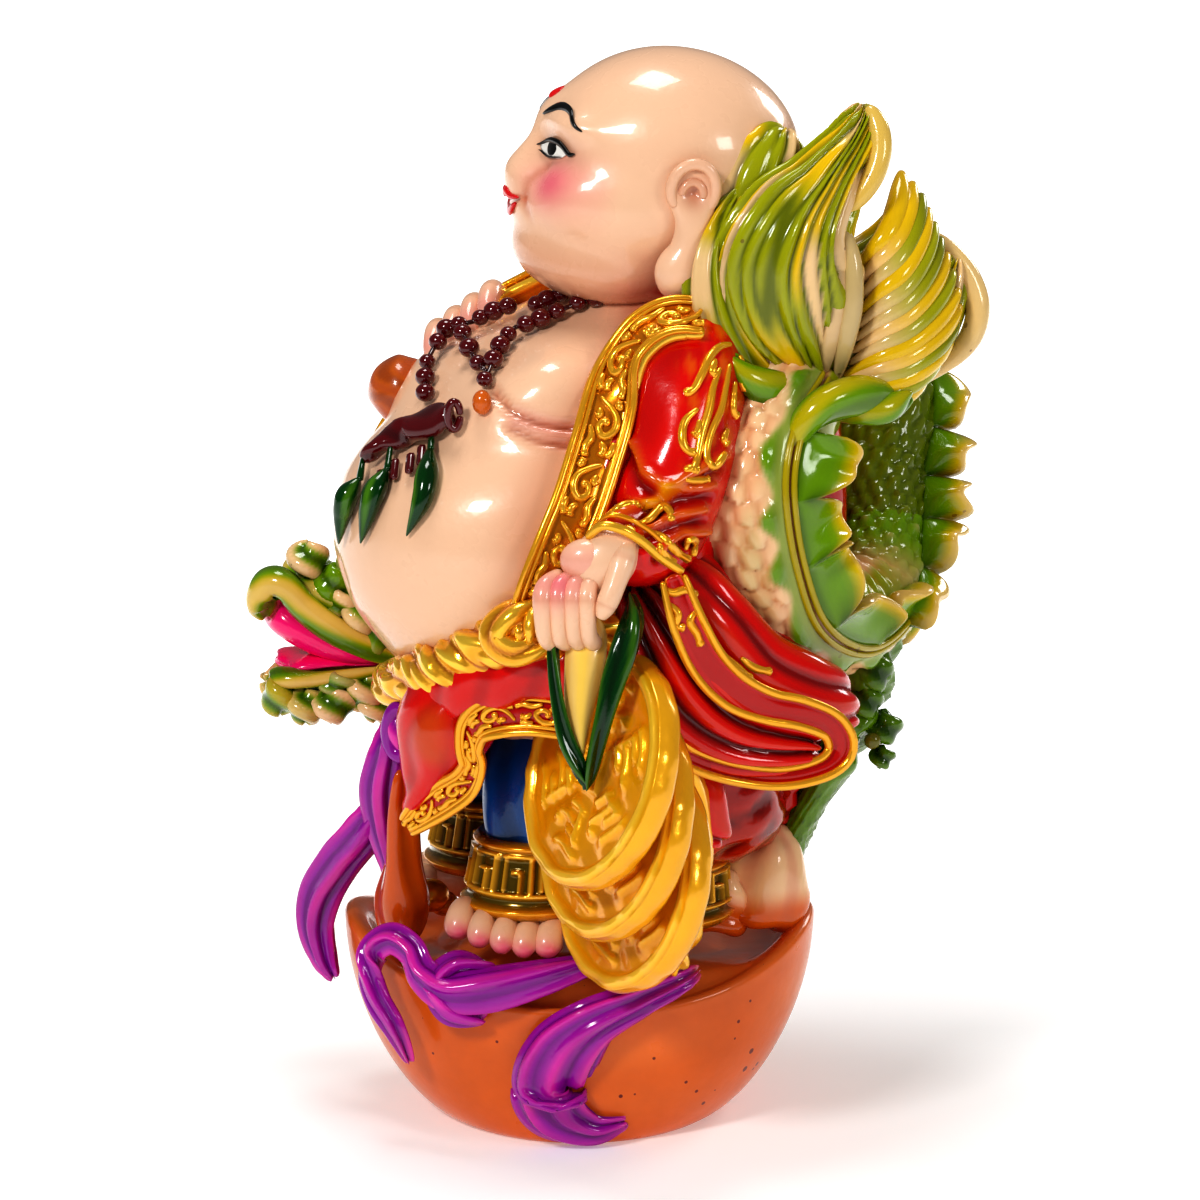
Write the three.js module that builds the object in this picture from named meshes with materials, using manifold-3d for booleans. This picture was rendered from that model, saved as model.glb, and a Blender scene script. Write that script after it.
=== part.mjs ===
// Painted resin figure of a laughing monk with a dragon, cast in one piece with the
// gold ingot that it stands on. Millimetres, +Z up, origin at the centre of the underside.
// X runs along the ingot from tip to tip, and the monk faces -X, turned towards -Y.
import * as THREE from 'three';
import { ParametricGeometry } from 'three/addons/geometries/ParametricGeometry.js';
import { mergeVertices } from 'three/addons/utils/BufferGeometryUtils.js';
import Module from 'manifold-3d';

// Driving sizes
const figure_height = 206; // from the sole to the crown
const stand_height = 44; // the ingot's dome, where the soles rest
const ingot_length = 111; // over the two tips
const ingot_width = 84; // over the long sides, at the rim
const underside_length = 64;
const underside_width = 70;
const rim_height = 34; // at the middle of a long side
const tip_rise = 13; // from there to a tip
const hull_roundness = 0.6; // below 1 the hull swells low down
const rim_thickness = 2.5;
const dish_depth = 6; // the trough between the dome and a tip
const body_turn_deg = 28; // from the ingot's long axis towards -Y
const head_turn_deg = 5;
const head_tilt_deg = 11; // the chin is lifted
const coin_diameter = 49;
const coin_thickness = 6.5;
const bead_diameter = 5;

// The figure is drawn on a grid of 206 units from sole to crown, with z counted from the soles.
const grid = figure_height / 206;
const torso_axis_x = 6.5;
const full_turn = 2 * Math.PI;
const body_turn = THREE.MathUtils.degToRad(body_turn_deg);

const wasm = await Module();
wasm.setup();

// Points and directions

const mix = THREE.MathUtils.lerp;
const step = THREE.MathUtils.smoothstep; // (x, low, high)
const bell = (x, width) => Math.exp(-((x / width) ** 2));

// Body terms (forward, left, up) of the turned torso, as grid terms (x, y, z)
function body([forward, left, up, ...rest]) {
	const x = torso_axis_x - forward * Math.cos(body_turn) + left * Math.sin(body_turn);
	const y = -forward * Math.sin(body_turn) - left * Math.cos(body_turn);
	return [x, y, up, ...rest];
}

const forward_way = [-Math.cos(body_turn), -Math.sin(body_turn), 0];

function place(target, x, y, z) {
	return target.set(x * grid, y * grid, stand_height + z * grid);
}

// Solids

// A closed parametric surface as a solid. A surface that comes out inside out is turned.
function solid(surface, around, along) {
	const plain = new ParametricGeometry(surface, around, along);
	plain.deleteAttribute('normal');
	plain.deleteAttribute('uv');
	const geometry = mergeVertices(plain, 1e-3);
	const place_of = geometry.attributes.position;
	const corners = Array.from(geometry.index.array);
	const triangles = [];
	let volume = 0;
	const [a, b, c] = [new THREE.Vector3(), new THREE.Vector3(), new THREE.Vector3()];
	for (let i = 0; i < corners.length; i += 3) {
		const [p, q, r] = corners.slice(i, i + 3);
		if (p === q || q === r || r === p) continue;
		triangles.push([p, q, r]);
		a.fromBufferAttribute(place_of, p);
		b.fromBufferAttribute(place_of, q);
		c.fromBufferAttribute(place_of, r);
		volume += a.dot(b.cross(c));
	}
	const outward = volume > 0 ? triangles : triangles.map(([p, q, r]) => [p, r, q]);
	return new wasm.Manifold(new wasm.Mesh({
		numProp: 3,
		vertProperties: new Float32Array(place_of.array),
		triVerts: new Uint32Array(outward.flat()),
	}));
}

// Stations are [x, y, z, half width, half depth, roll in degrees]. The section is an ellipse
// whose half width lies along `side`, one direction for all or one for each station. `blunt`
// shapes the ends: 2 is an egg, 8 is nearly flat.
function limb(stations, { side = [0, 0, 1], around = 10, along = 8, blunt = 3, relief } = {}) {
	const smooth = (triples) => new THREE.CatmullRomCurve3(
		triples.map((triple) => new THREE.Vector3(...triple)), false, 'catmullrom', 0.5);
	const centre = smooth(stations.map((station) => station.slice(0, 3)));
	const size = smooth(stations.map(([, , , a, b, roll = 0]) => [a, b, roll]));
	const sides = smooth(Array.isArray(side[0]) ? side : stations.map(() => side));
	return solid((u, v, target) => {
		const t = mix(v, (1 - Math.cos(Math.PI * v)) / 2, 0.6);
		const c = centre.getPoint(t);
		const s = size.getPoint(t);
		const tangent = centre.getTangent(t);
		const wide = sides.getPoint(t);
		wide.addScaledVector(tangent, -wide.dot(tangent)).normalize();
		wide.applyAxisAngle(tangent, THREE.MathUtils.degToRad(s.z));
		const deep = tangent.cross(wide);
		const end = (1 - Math.abs(2 * t - 1) ** blunt) ** (1 / blunt);
		const swell = 1 + (relief ? relief(u % 1, t) : 0);
		const angle = full_turn * (u % 1);
		c.addScaledVector(wide, s.x * end * swell * Math.cos(angle));
		c.addScaledVector(deep, s.y * end * swell * Math.sin(angle));
		place(target, c.x, c.y, c.z);
	}, around, along);
}

// An egg with half sizes along the grid axes
function egg([x, y, z], [rx, ry, rz], around = 10, along = 6) {
	return solid((u, v, target) => {
		const angle = full_turn * (u % 1);
		const lift = Math.PI * v;
		const out = v === 1 ? 0 : Math.sin(lift);
		place(target, x + rx * out * Math.cos(angle), y + ry * out * Math.sin(angle),
			z - rz * Math.cos(lift));
	}, around, along);
}

const joined = (solids) => solids.reduce((whole, next) => whole.add(next));

// The ingot: a boat-shaped bar with two raised tips and a dome in the middle

// The height of the rim at an angle from +X, in radians
const rim_level = (angle) => rim_height + tip_rise * Math.abs(Math.cos(angle)) ** 3;

// A point on the hull. rise is 0 at the underside and 1 at the rim, and lift goes outwards.
function hull_point(angle, rise, lift = 0) {
	const bulge = Math.sin(Math.PI / 2 * Math.min(rise, 1)) ** hull_roundness;
	return [
		(mix(underside_length, ingot_length, bulge) / 2 + lift) * Math.cos(angle),
		(mix(underside_width, ingot_width, bulge) / 2 + lift) * Math.sin(angle),
		rim_level(angle) * rise,
	];
}

// Rings of the top inside the rim: [share of the rim's size, level in front, level at a tip]
const top_rings = [
	[0.87, stand_height - 3.5, stand_height - 5], [0.66, stand_height - 0.7, stand_height - dish_depth],
	[0.36, stand_height, stand_height - 1], [0, stand_height, stand_height],
];

function ingot() {
	const wall_rings = 5;
	const inner = 1 - 2 * rim_thickness / ingot_width;
	const rows = [() => [0, 0, 0]];
	for (let i = 0; i <= wall_rings; i++) rows.push((angle) => hull_point(angle, i / wall_rings));
	rows.push((angle) => {
		const [x, y, level] = hull_point(angle, 1);
		return [x * inner, y * inner, level];
	});
	for (const [share, front, side] of top_rings) {
		rows.push((angle) => {
			const [x, y] = hull_point(angle, 1);
			return [x * share * inner, y * share * inner, mix(front, side, Math.cos(angle) ** 2)];
		});
	}
	return solid((u, v, target) => {
		const row = rows[Math.round(v * (rows.length - 1))];
		target.set(...row(full_turn * (u % 1)));
	}, 24, rows.length - 1);
}

// The body

// A standing form given by levels [up, forward, half depth, half width] of the turned body.
// Its outline at each level is an ellipse, and `relief(turn, up)` swells it, with the turn in
// degrees from the front towards the left.
class Standing {
	constructor(levels, relief = () => 0) {
		this.low = levels[0][0];
		this.high = levels.at(-1)[0];
		const shapes = levels.flatMap((level) => level.slice(1));
		this.curve = new THREE.CubicInterpolant(levels.map(([up]) => up), shapes, 3);
		this.relief = relief;
	}

	// The place on the surface, or `lift` outside it
	at(turn, up, lift = 0) {
		const [centre, depth, width] = this.curve.evaluate(up);
		const swell = 1 + this.relief(turn, up);
		const angle = THREE.MathUtils.degToRad(turn);
		return body([
			centre + (depth * swell + lift) * Math.cos(angle),
			(width * swell + lift) * Math.sin(angle),
			up,
		]);
	}

	solid(around, along) {
		return solid((u, v, target) => {
			const turn = (u % 1) * 360 - 180;
			const row = Math.round(v * (along + 2)) - 1;
			const up = mix(this.low, this.high, THREE.MathUtils.clamp(row / along, 0, 1));
			if (row < 0 || row > along) {
				const front = this.at(0, up);
				const back = this.at(180, up);
				place(target, (front[0] + back[0]) / 2, (front[1] + back[1]) / 2, up);
			} else {
				place(target, ...this.at(turn, up));
			}
		}, around, along + 2);
	}
}

const torso = new Standing([
	[50, 6, 27, 30], [60, 8, 36, 35], [70, 12, 42, 39], [82, 17, 45.5, 42.5], [96, 19, 47, 44.5],
	[109, 18, 45.5, 43], [121, 13, 41, 40], [130, 8, 37, 38], [137, 4, 33, 36], [143, 0, 25, 30],
	[148, -4, 18, 23], [154, -6, 14, 16],
], (turn, up) => 0.1 * bell(Math.abs(turn) - 33, 20) * bell(up - 134, 8)
	- 0.035 * bell(up - 121, 4) * bell(turn, 60));

// The fold of fat under the jaw
const neck_roll = () => egg([8, -3, 155], [23, 20, 9], 11, 4);

// A foot with five toes. heel and toes are points, and the toes fan out along `across`.
function foot(heel, toes, across, around) {
	const sole = limb([
		[...heel, 8, 8], [mix(heel[0], toes[0], 0.5), mix(heel[1], toes[1], 0.5), 6, 6, 10], [...toes, 4, 11],
	], { around: 6, along: 3, blunt: 5 });
	const toe_count = 5;
	const away = new THREE.Vector2(toes[0] - heel[0], toes[1] - heel[1]).normalize();
	const set = [];
	for (let i = 0; i < toe_count; i++) {
		const share = i / (toe_count - 1) - 0.5;
		const root = new THREE.Vector2(...toes).addScaledVector(new THREE.Vector2(...across), share);
		const reach = 5 - 8 * share * share;
		set.push(limb([
			[root.x - away.x * reach, root.y - away.y * reach, 6, 3, 3],
			[root.x + away.x * reach, root.y + away.y * reach, 4.5, 3.3, 3],
			[root.x + 2 * away.x * reach, root.y + 2 * away.y * reach, 2, 2.6, 2.8],
		], { around, along: 3 }));
	}
	return joined([sole, ...set]);
}

const left_ankle = [-10.5, -20];
const right_ankle = [-20, 15];

function leg([x, y], hip) {
	const trousers = limb([[...hip, 16, 16], [x + 2, y + 2, 40, 13, 13], [x, y, 22, 10.5, 10.5]],
		{ side: [1, 0, 0], around: 8, along: 4, blunt: 8 });
	const cuff = limb([[x, y, 27, 12, 12], [x - 0.5, y - 1, 19, 13.8, 13.8], [x - 1, y - 2, 11, 15.4, 15.4]],
		{ side: [1, 0, 0], around: 10, along: 3, blunt: 12 });
	return trousers.add(cuff);
}

// The head: a blend of eggs found along rays from its middle

const head_centre = [17, -2, 180];
const head_turn = THREE.MathUtils.degToRad(head_turn_deg);
const head_tilt = THREE.MathUtils.degToRad(head_tilt_deg);

// Head terms (forward, left, up) as grid terms
function head_point(forward, left, up) {
	const ahead = forward * Math.cos(head_tilt) - up * Math.sin(head_tilt);
	const high = forward * Math.sin(head_tilt) + up * Math.cos(head_tilt);
	return [
		head_centre[0] - ahead * Math.cos(head_turn) + left * Math.sin(head_turn),
		head_centre[1] - ahead * Math.sin(head_turn) - left * Math.cos(head_turn),
		head_centre[2] + high,
	];
}

// [forward, left, up, half depth, half width, half height] of the skull, jaw, cheeks, chin and nose
const head_eggs = [
	[-4, 0, 4.5, 29, 25, 23.2], [3, 0, -9, 23, 24.5, 18], [15, 11, -9, 10, 10, 9], [15, -11, -9, 10, 10, 9],
	[18, 0, -19, 7.5, 9, 6], [26.5, 0, -3.5, 4, 3, 5.5], [28.5, 0, -6, 3.6, 4.2, 3],
	[22.5, 0, -13.5, 4, 7, 1.8], [22, 0, -11, 4, 8, 1.6],
];
const head_blend = 1.6;

function head_depth(forward, left, up) {
	let sum = 0;
	for (const [f, l, u, a, b, c] of head_eggs) {
		const far = Math.hypot((forward - f) / a, (left - l) / b, (up - u) / c);
		sum += Math.exp(-(far - 1) * Math.min(a, b, c) / head_blend);
	}
	return -Math.log(sum) * head_blend;
}

function head() {
	return solid((u, v, target) => {
		const angle = full_turn * (u % 1);
		const lift = Math.PI * v;
		const out = v === 0 || v === 1 ? 0 : Math.sin(lift);
		const ray = [out * Math.cos(angle), out * Math.sin(angle), -Math.cos(lift)];
		let [near, far] = [5, 45];
		for (let i = 0; i < 24; i++) {
			const middle = (near + far) / 2;
			if (head_depth(...ray.map((way) => way * middle)) < 0) near = middle;
			else far = middle;
		}
		place(target, ...head_point(...ray.map((way) => way * near)));
	}, 16, 10);
}

// An ear with the long lobe that hangs to the shoulder. side is 1 on the left and -1 on the right.
function ear(side) {
	return limb([
		[...head_point(-7, side * 22.5, 10), 3, 2.5], [...head_point(-9, side * 25, 6), 6, 3],
		[...head_point(-9, side * 26, -1), 6, 3.2], [...head_point(-8, side * 25.5, -8), 4.2, 3],
		[...head_point(-9, side * 25.5, -16), 3.6, 3], [...head_point(-11, side * 25.5, -22), 4.4, 3.6],
		[...head_point(-12, side * 25, -27), 3.4, 3],
	], { side: [1, 0, 0], around: 6, along: 6 });
}

// The robe

// Where the robe opens, in degrees from the front
const lapel_turn = new THREE.CubicInterpolant(
	[62, 81, 97, 113, 127, 140, 152], [50, 58, 66, 70, 71, 70, 80], 1);

const robe = new Standing([
	[-12, -20, 20, 26], [0, -17, 25, 31], [24, -12, 31, 36], [42, -6, 36, 38], [60, 0, 40, 41],
	[78, 7, 47, 46], [95, 10, 50, 48.5], [109, 9, 49, 47.5], [122, 6, 46, 46], [134, 1, 40, 43],
	[143, -5, 32, 37], [150, -9, 22, 27], [155, -11, 14, 18],
], (turn, up) => {
	const edge = lapel_turn.evaluate(THREE.MathUtils.clamp(up, 62, 152))[0];
	const opening = 1 - step(Math.abs(turn), edge - 9, edge - 1);
	const folds = 0.03 * Math.cos(THREE.MathUtils.degToRad(9 * turn + 2 * up));
	return -0.3 * opening + (1 - opening) * folds;
});

// The robe's back, which the dragon's coil wraps
function robe_back() {
	const folds = (u, t) => 0.06 * Math.cos(full_turn * 6 * u + 3 * t);
	return limb([
		[23, 2, -14, 23, 22], [25, 4, 4, 25, 24], [30, 6, 28, 28, 26], [37, 8, 54, 28, 28], [41, 9, 80, 28, 29],
		[41, 9, 106, 28, 28], [35, 7, 128, 26, 26], [26, 3, 148, 18, 20],
	], { side: [1, 0, 0], around: 18, along: 5, blunt: 8, relief: folds });
}

// The front of the robe below the sash, whose hem rises towards the left leg
const hem_height = (turn) => 28 + 28 * step(turn, 15, 75) + 14 * step(-turn, 70, 130)
	+ 3 * Math.cos(THREE.MathUtils.degToRad(8 * turn));

function skirt() {
	const rings = 3;
	return solid((u, v, target) => {
		const turn = (u % 1) * 360 - 180;
		const angle = THREE.MathUtils.degToRad(turn);
		const row = Math.round(v * (rings + 2)) - 1;
		const down = THREE.MathUtils.clamp(row / rings, 0, 1);
		const swing = 1 + 0.05 * Math.cos(10 * angle) * down;
		const reach = row < 0 || row > rings ? 0 : 1;
		const [x, y] = body([
			5 + reach * mix(37, 46, down) * swing * Math.cos(angle),
			reach * mix(37, 38, down) * swing * Math.sin(angle), 0]);
		place(target, x, y, reach ? mix(74, hem_height(turn), down) : mix(74, 40, down));
	}, 28, rings + 2);
}

// Trim, belt and sleeves

function lapel(side) {
	const stations = [];
	for (const up of [82, 96, 110, 124, 137, 146, 151]) {
		const turn = side * lapel_turn.evaluate(up)[0];
		stations.push([...torso.at(turn, up, 1.5), 6.5, 3.6]);
	}
	return limb(stations, { side: side > 0 ? [1, -0.5, 0] : [0.3, 1, 0], around: 6, along: 6, blunt: 6 });
}

function sash() {
	const [twists, from, to] = [7, -110, 110];
	const stations = [];
	for (let turn = from; turn <= to; turn += 20) {
		const angle = THREE.MathUtils.degToRad(turn);
		const rise = 30 * (1 - Math.cos(THREE.MathUtils.degToRad(turn + 22)));
		const up = 60 + Math.min(rise, 26);
		stations.push([...body([9 + 42 * Math.cos(angle), 41 * Math.sin(angle), up]), 6, 5]);
	}
	const twist = (u, t) => 0.22 * Math.cos(full_turn * (2 * u + twists * t));
	return limb(stations, { around: 6, along: 12, blunt: 5, relief: twist });
}

// A sleeve's hanging part
function sleeve_fall(stations) {
	const folds = (u) => 0.1 * Math.cos(full_turn * 4 * u);
	return limb(stations, { around: 10, along: 6, blunt: 4, side: [0.5, 0.1, 1], relief: folds });
}

function sleeves() {
	const folds = (u, t) => 0.06 * Math.cos(full_turn * 2 * u + 9 * t);
	const options = { around: 8, along: 6, blunt: 4, relief: folds };
	const left_arm = limb([
		[20, -20, 147, 13, 14], [23, -33, 135, 15, 15], [26, -41, 119, 15, 14], [24, -47, 105, 15, 13],
		[15, -53, 102, 13, 11], [7, -58, 104, 10, 9],
	], { ...options, side: [1, 0, 0.3] });
	const left_fall = sleeve_fall([
		[12, -52, 98, 9, 6], [20, -50, 84, 13, 8], [29, -47, 70, 16, 9], [40, -43, 61, 15, 9],
		[51, -39, 57, 12, 8], [61, -35, 55, 7, 5],
	]);
	const left_hollow = limb([
		[22, -58, 72, 4, 3], [32, -56, 61, 6, 5], [44, -51, 57, 6, 5], [54, -45, 55, 3, 3],
	], { around: 6, along: 4, side: [0.5, 0.1, 1] });
	const right_arm = limb([
		body([-6, -24, 145, 13, 14]), body([-4, -37, 133, 15, 15]), body([4, -46, 118, 15, 14]),
		body([15, -47, 116, 13, 13]), body([19, -38, 124, 11, 11]), body([19, -32, 132, 8, 8]),
	], { ...options, side: [1, 0, 0.3] });
	const right_fall = sleeve_fall([
		body([18, -44, 120, 10, 8]), body([18, -50, 102, 14, 9]), body([12, -52, 84, 15, 9]),
		body([2, -50, 68, 12, 8]), body([-8, -46, 58, 7, 6]),
	]);
	return joined([left_arm, left_fall.subtract(left_hollow), right_arm, right_fall]);
}

// Hands, each a palm, four bent fingers and a thumb

function left_hand() {
	const palm = limb([[11, -57, 104, 6, 6], [5, -60, 100, 7, 6.5], [1, -61, 93, 7, 6]],
		{ around: 6, along: 3 });
	const fingers = [];
	for (let i = 0; i < 4; i++) {
		const x = -8 + 3.1 * i;
		fingers.push(limb([
			[x + 3, -62 + 0.4 * i, 96, 2.3, 2.3], [x, -65.5, 93 + 0.4 * i, 2.4, 2.5],
			[x + 0.5, -66, 86, 2.4, 2.5], [x + 3, -62, 81.5, 2.1, 2.2],
		], { side: [1, 0, 0], around: 4, along: 4 }));
	}
	const thumb = limb([[10, -59, 103, 3, 3], [9.5, -65, 97, 2.8, 2.8], [5, -67, 88, 2.6, 2.6]],
		{ around: 6, along: 4 });
	return joined([palm, ...fingers, thumb]);
}

// The raised right hand, whose fingers close towards the chest
function right_hand() {
	const palm = limb([[-15, 24, 130, 7, 6], [-20, 18, 138, 7, 6], [-24, 13, 144, 6, 5]],
		{ side: [1, 0, 0], around: 6, along: 3 });
	const fingers = [];
	for (let i = 0; i < 4; i++) {
		const [x, z] = [-33 + 4.2 * i, 138 + 3 * i];
		fingers.push(limb([
			[x + 2, 17, z + 1, 2.4, 2.4], [x, 9, z + 2, 2.5, 2.5], [x - 1, 3, z - 1, 2.4, 2.4],
			[x, 0, z - 6, 2, 2],
		], { side: [1, 0, 0], around: 5, along: 4 }));
	}
	return joined([palm, ...fingers]);
}

// What the monk wears and carries

// Beads along a path, drawn as one string that swells at each bead
function beads(stations, count) {
	const swell = (u, t) => 0.4 * Math.cos(full_turn * count * t) - 0.3;
	const half = bead_diameter / 2 / grid;
	return limb(stations.map((station) => [...station, half, half]), {
		around: 4, along: 2 * count, blunt: 12, relief: swell,
	});
}

// A route on the chest through points [turn, up]
const on_chest = (points, lift) => points.map(([turn, up]) => torso.at(turn, up, lift));

function necklace() {
	const left = on_chest([[88, 151], [66, 147], [48, 143], [30, 139], [16, 134], [6, 129], [0, 124]], 3);
	const right = on_chest([[-75, 149], [-62, 144], [-52, 140], [-40, 137], [-26, 132], [-12, 127]], 3);
	const route = on_chest([[20, 126], [10, 122], [0, 119], [-10, 117]], 2.5);
	const plate = limb(route.map((point) => [...point, 5, 3]), { around: 6, along: 5, side: [0.3, 0.3, 1] });
	const peppers = [19, 11, 3, -6].map((turn, i) => {
		const up = 119 - 1.5 * i;
		const [stalk, middle, tip] = on_chest([[turn, up], [turn - 2, up - 7], [turn - 5, up - 17]], 1.2);
		return limb([[...stalk, 2, 2], [...middle, 3.2, 3], [...tip, 1.2, 1.2]],
			{ around: 4, along: 4, side: [1, 0, 0] });
	});
	return joined([beads(left, 8), beads(right, 6), plate, ...peppers]);
}

function gourd() {
	return limb([
		[-49, 5, 124, 5, 5], [-44, 5, 125.5, 8.5, 8.5], [-38, 4.5, 126.5, 8, 8], [-34, 4, 127.5, 4.5, 4.5],
		[-29, 4, 129, 6, 6], [-22, 8, 131, 3, 3],
	], { around: 6, along: 6, blunt: 2.5 });
}

// A coin with a raised rim, its face turned by `turn` degrees from -Y towards -X
function coin([x, y, z], turn, lean) {
	const [r, t] = [coin_diameter / 2 / grid, coin_thickness / 2 / grid];
	const rim = r * 0.86;
	const profile = [[0, -0.4 * t], [rim, -0.4 * t], [rim + 0.6, -t], [r, -t], [r, t], [0, t]];
	const pose = new THREE.Matrix4().makeRotationFromEuler(new THREE.Euler(
		THREE.MathUtils.degToRad(lean), 0, THREE.MathUtils.degToRad(turn), 'ZXY')).setPosition(x, y, z);
	return solid((u, v, target) => {
		const [out, deep] = profile[Math.round(v * (profile.length - 1))];
		const angle = full_turn * (u % 1);
		target.set(out * Math.cos(angle), deep, out * Math.sin(angle)).applyMatrix4(pose);
		place(target, target.x, target.y, target.z);
	}, 16, profile.length - 1);
}

function coin_string() {
	const coins = [
		coin([8, -57, 52], -54, -19), coin([10.5, -53, 34], -54, -17), coin([12.5, -48, 19], -54, -15),
	];
	const strap = limb([
		[16, -48, 76, 7, 8], [19, -46, 60, 8, 9], [21, -43, 42, 8, 9], [21, -41, 24, 8, 9], [20, -39, 8, 7, 8],
		[20, -38, -3, 5, 6],
	], { around: 6, along: 5, side: [1, -0.5, 0], blunt: 5 });
	const ribbon = [
		[[7, -59, 97, 2.5, 2.5], [9.5, -65, 84, 3, 1.6], [5, -67, 68, 2.6, 1.6], [1, -66, 52, 1.6, 1.4]],
		[[-5, -62, 86, 1.5, 1.4], [-5, -64, 72, 1.6, 1.4], [-1, -65, 52, 1.6, 1.4]],
	].map((stations) => limb(stations, { around: 4, along: 4, side: [1, 0, 0] }));
	return joined([...coins, strap, ...ribbon]);
}

// A route over the ingot's hull through points [degrees from +X, rise, half width, half depth]
const on_hull = (points) => points.map(([degrees, rise, ...size]) => {
	const [x, y, z] = hull_point(THREE.MathUtils.degToRad(degrees), rise, 1.5);
	return [x / grid, y / grid, (z - stand_height) / grid, ...size];
});

function purple_ribbons() {
	const options = { around: 6, along: 8, side: [0.6, -0.3, 1] };
	return joined([
		// From the sash, down past the right leg to the ingot's tip
		limb([[-41, -12, 58, 4, 3], [-40, -16, 47, 5, 4, 30], [-43, -11, 36, 6, 3, 10], [-47, -8, 23, 6, 3],
			[-54, -4, 13, 5, 3, -20], [-57, -2, 2, 4, 3, -10], [-55, -3, -6, 3, 2.5]], options),
		// Under the toes and over the rim
		limb([[4, -36, -1, 4, 3], [-10, -38, -4, 6, 4], [-24, -37, -5, 7, 4], [-36, -31, -3, 6, 4],
			...on_hull([[-149, 1, 5, 3], [-144, 0.76, 4, 3], [-140, 0.4, 2.5, 2]])], options),
		// From the coins, down the ingot's side and back in a hook
		limb([[26, -38, -3, 4, 3],
			...on_hull([[-72, 1, 5, 3.5], [-88, 0.93, 6, 3.5], [-98, 0.7, 7, 3.5], [-101, 0.46, 7, 3.5],
				[-96, 0.25, 6, 3.5], [-82, 0.18, 4, 3]])], options),
	]);
}

// The dragon

// Its body: from the tail at the left shoulder, under the arm, up behind and across the back.
// Each station is [x, y, z, half width], and its ridge points to the line of the fins.
const coil = [
	[[52, -16, 135, 10], [0.3, -1, 0.2]], [[44, -25, 124, 13], [0.3, -1, 0.1]],
	[[39.5, -30, 111, 13.5], [0.5, -0.9, 0.1]], [[41, -29, 96, 13.5], [0.6, -0.8, -0.1]],
	[[48, -21, 83, 13], [0.6, -0.7, -0.4]], [[59, -8, 75, 12], [0.7, -0.5, -0.5]],
	[[68, 6, 77, 11.5], [0.85, -0.4, -0.3]], [[71, 17, 88, 11], [0.95, -0.2, -0.1]],
	[[71, 25, 102, 11], [1, 0, 0]], [[73, 33, 118, 11], [1, 0.2, 0]], [[70, 41, 131, 11], [0.8, 0.5, 0.4]],
	[[54, 46, 129, 11], [0.4, 0.7, 0.7]], [[34, 48, 112, 11], [0.1, 0.8, 0.6]],
	[[14, 49, 92, 11], [0, 0.9, 0.5]], [[-6, 47, 74, 11], [0, 0.9, 0.5]], [[-26, 40, 60, 10], [0, 0.7, 0.7]],
	[[-42, 31, 55, 8.5], [0, 0.3, 1]],
];

function dragon_body() {
	return limb(coil.map(([[x, y, z, half]]) => [x, y, z, half, half]), {
		side: coil.map(([, ridge]) => ridge), around: 8, along: 18, blunt: 8,
	});
}

// The foot of the coil, which runs down to the ingot's tip
function dragon_root() {
	return limb([
		[64, 4, 80, 8, 9], [65, 9, 62, 9, 9], [58, 11, 44, 10, 9], [52, 11, 30, 10, 9], [46, 8, 16, 11, 11],
		[41, 5, 2, 13, 12], [38, 2, -12, 12, 10],
	], { around: 7, along: 7, side: [1, 0, 0.2], blunt: 5 });
}

// Broad leaf-like fins that spring from the coil's ridge line and curl back at their tips
const fin_lengths = [25, 18, 15, 17, 19, 15, 13, 12, 12, 11];
const fin_spacing = 0.9; // in stations of the coil, from its second one

function fins() {
	const smooth = (triples) => new THREE.CatmullRomCurve3(
		triples.map((triple) => new THREE.Vector3(...triple)), false, 'catmullrom', 0.5);
	const centre = smooth(coil.map(([[x, y, z]]) => [x, y, z]));
	const ridge = smooth(coil.map(([, way]) => way));
	const half = smooth(coil.map(([[, , , half_width]]) => [half_width, 0, 0]));
	return joined(fin_lengths.map((length, i) => {
		const t = (0.9 + fin_spacing * i) / (coil.length - 1);
		const out = half.getPoint(t).x;
		const root = centre.getPoint(t).addScaledVector(ridge.getPoint(t).normalize(), 0.7 * out);
		const away = new THREE.Vector3(0.95, -0.3, 0.05).multiplyScalar(length);
		const middle = root.clone().addScaledVector(away, 0.5);
		const tip = root.clone().add(away).add(new THREE.Vector3(0, 0.35 * length, -3));
		return limb([[...root, 6.5, 4], [...middle, 5.5, 2.6], [...tip, 3, 1.8]],
			{ around: 5, along: 4, side: [0.1, 0.4, 1], blunt: 2.5 });
	}));
}

// The tail's tuft: fluted flames that spring from one root on the shoulder
const tail_root = [53, -18, 131];
const tail_flames = [
	// [stations after the root, number of flutes]
	[[[46, -24, 138, 13, 11], [40, -26, 150, 15, 12], [42, -25, 163, 14, 11], [50, -22, 176, 10, 9],
		[59, -18, 187, 7.5, 6], [63, -15, 197, 4, 4]], 7],
	[[[44, -14, 146, 8, 8], [40, -13, 164, 9, 8], [43, -11, 180, 7, 6], [49, -8, 194, 3.5, 4]], 4],
	[[[40, -24, 138, 7, 8], [31, -25, 147, 7, 8], [27, -22, 158, 6, 7], [28, -17, 176, 3.5, 4]], 4],
	[[[58, -18, 142, 10, 9], [66, -16, 155, 11, 8], [71, -13, 168, 8, 6], [75, -10, 181, 4, 4]], 4],
	[[[62, -18, 137, 8, 8], [72, -16, 146, 9, 8], [81, -13, 157, 8, 6], [86, -10, 170, 3.5, 4]], 4],
	[[[64, -14, 133, 8, 8], [76, -12, 138, 9, 8], [85, -9, 145, 7, 6], [90, -7, 156, 3.5, 4]], 4],
];

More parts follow.
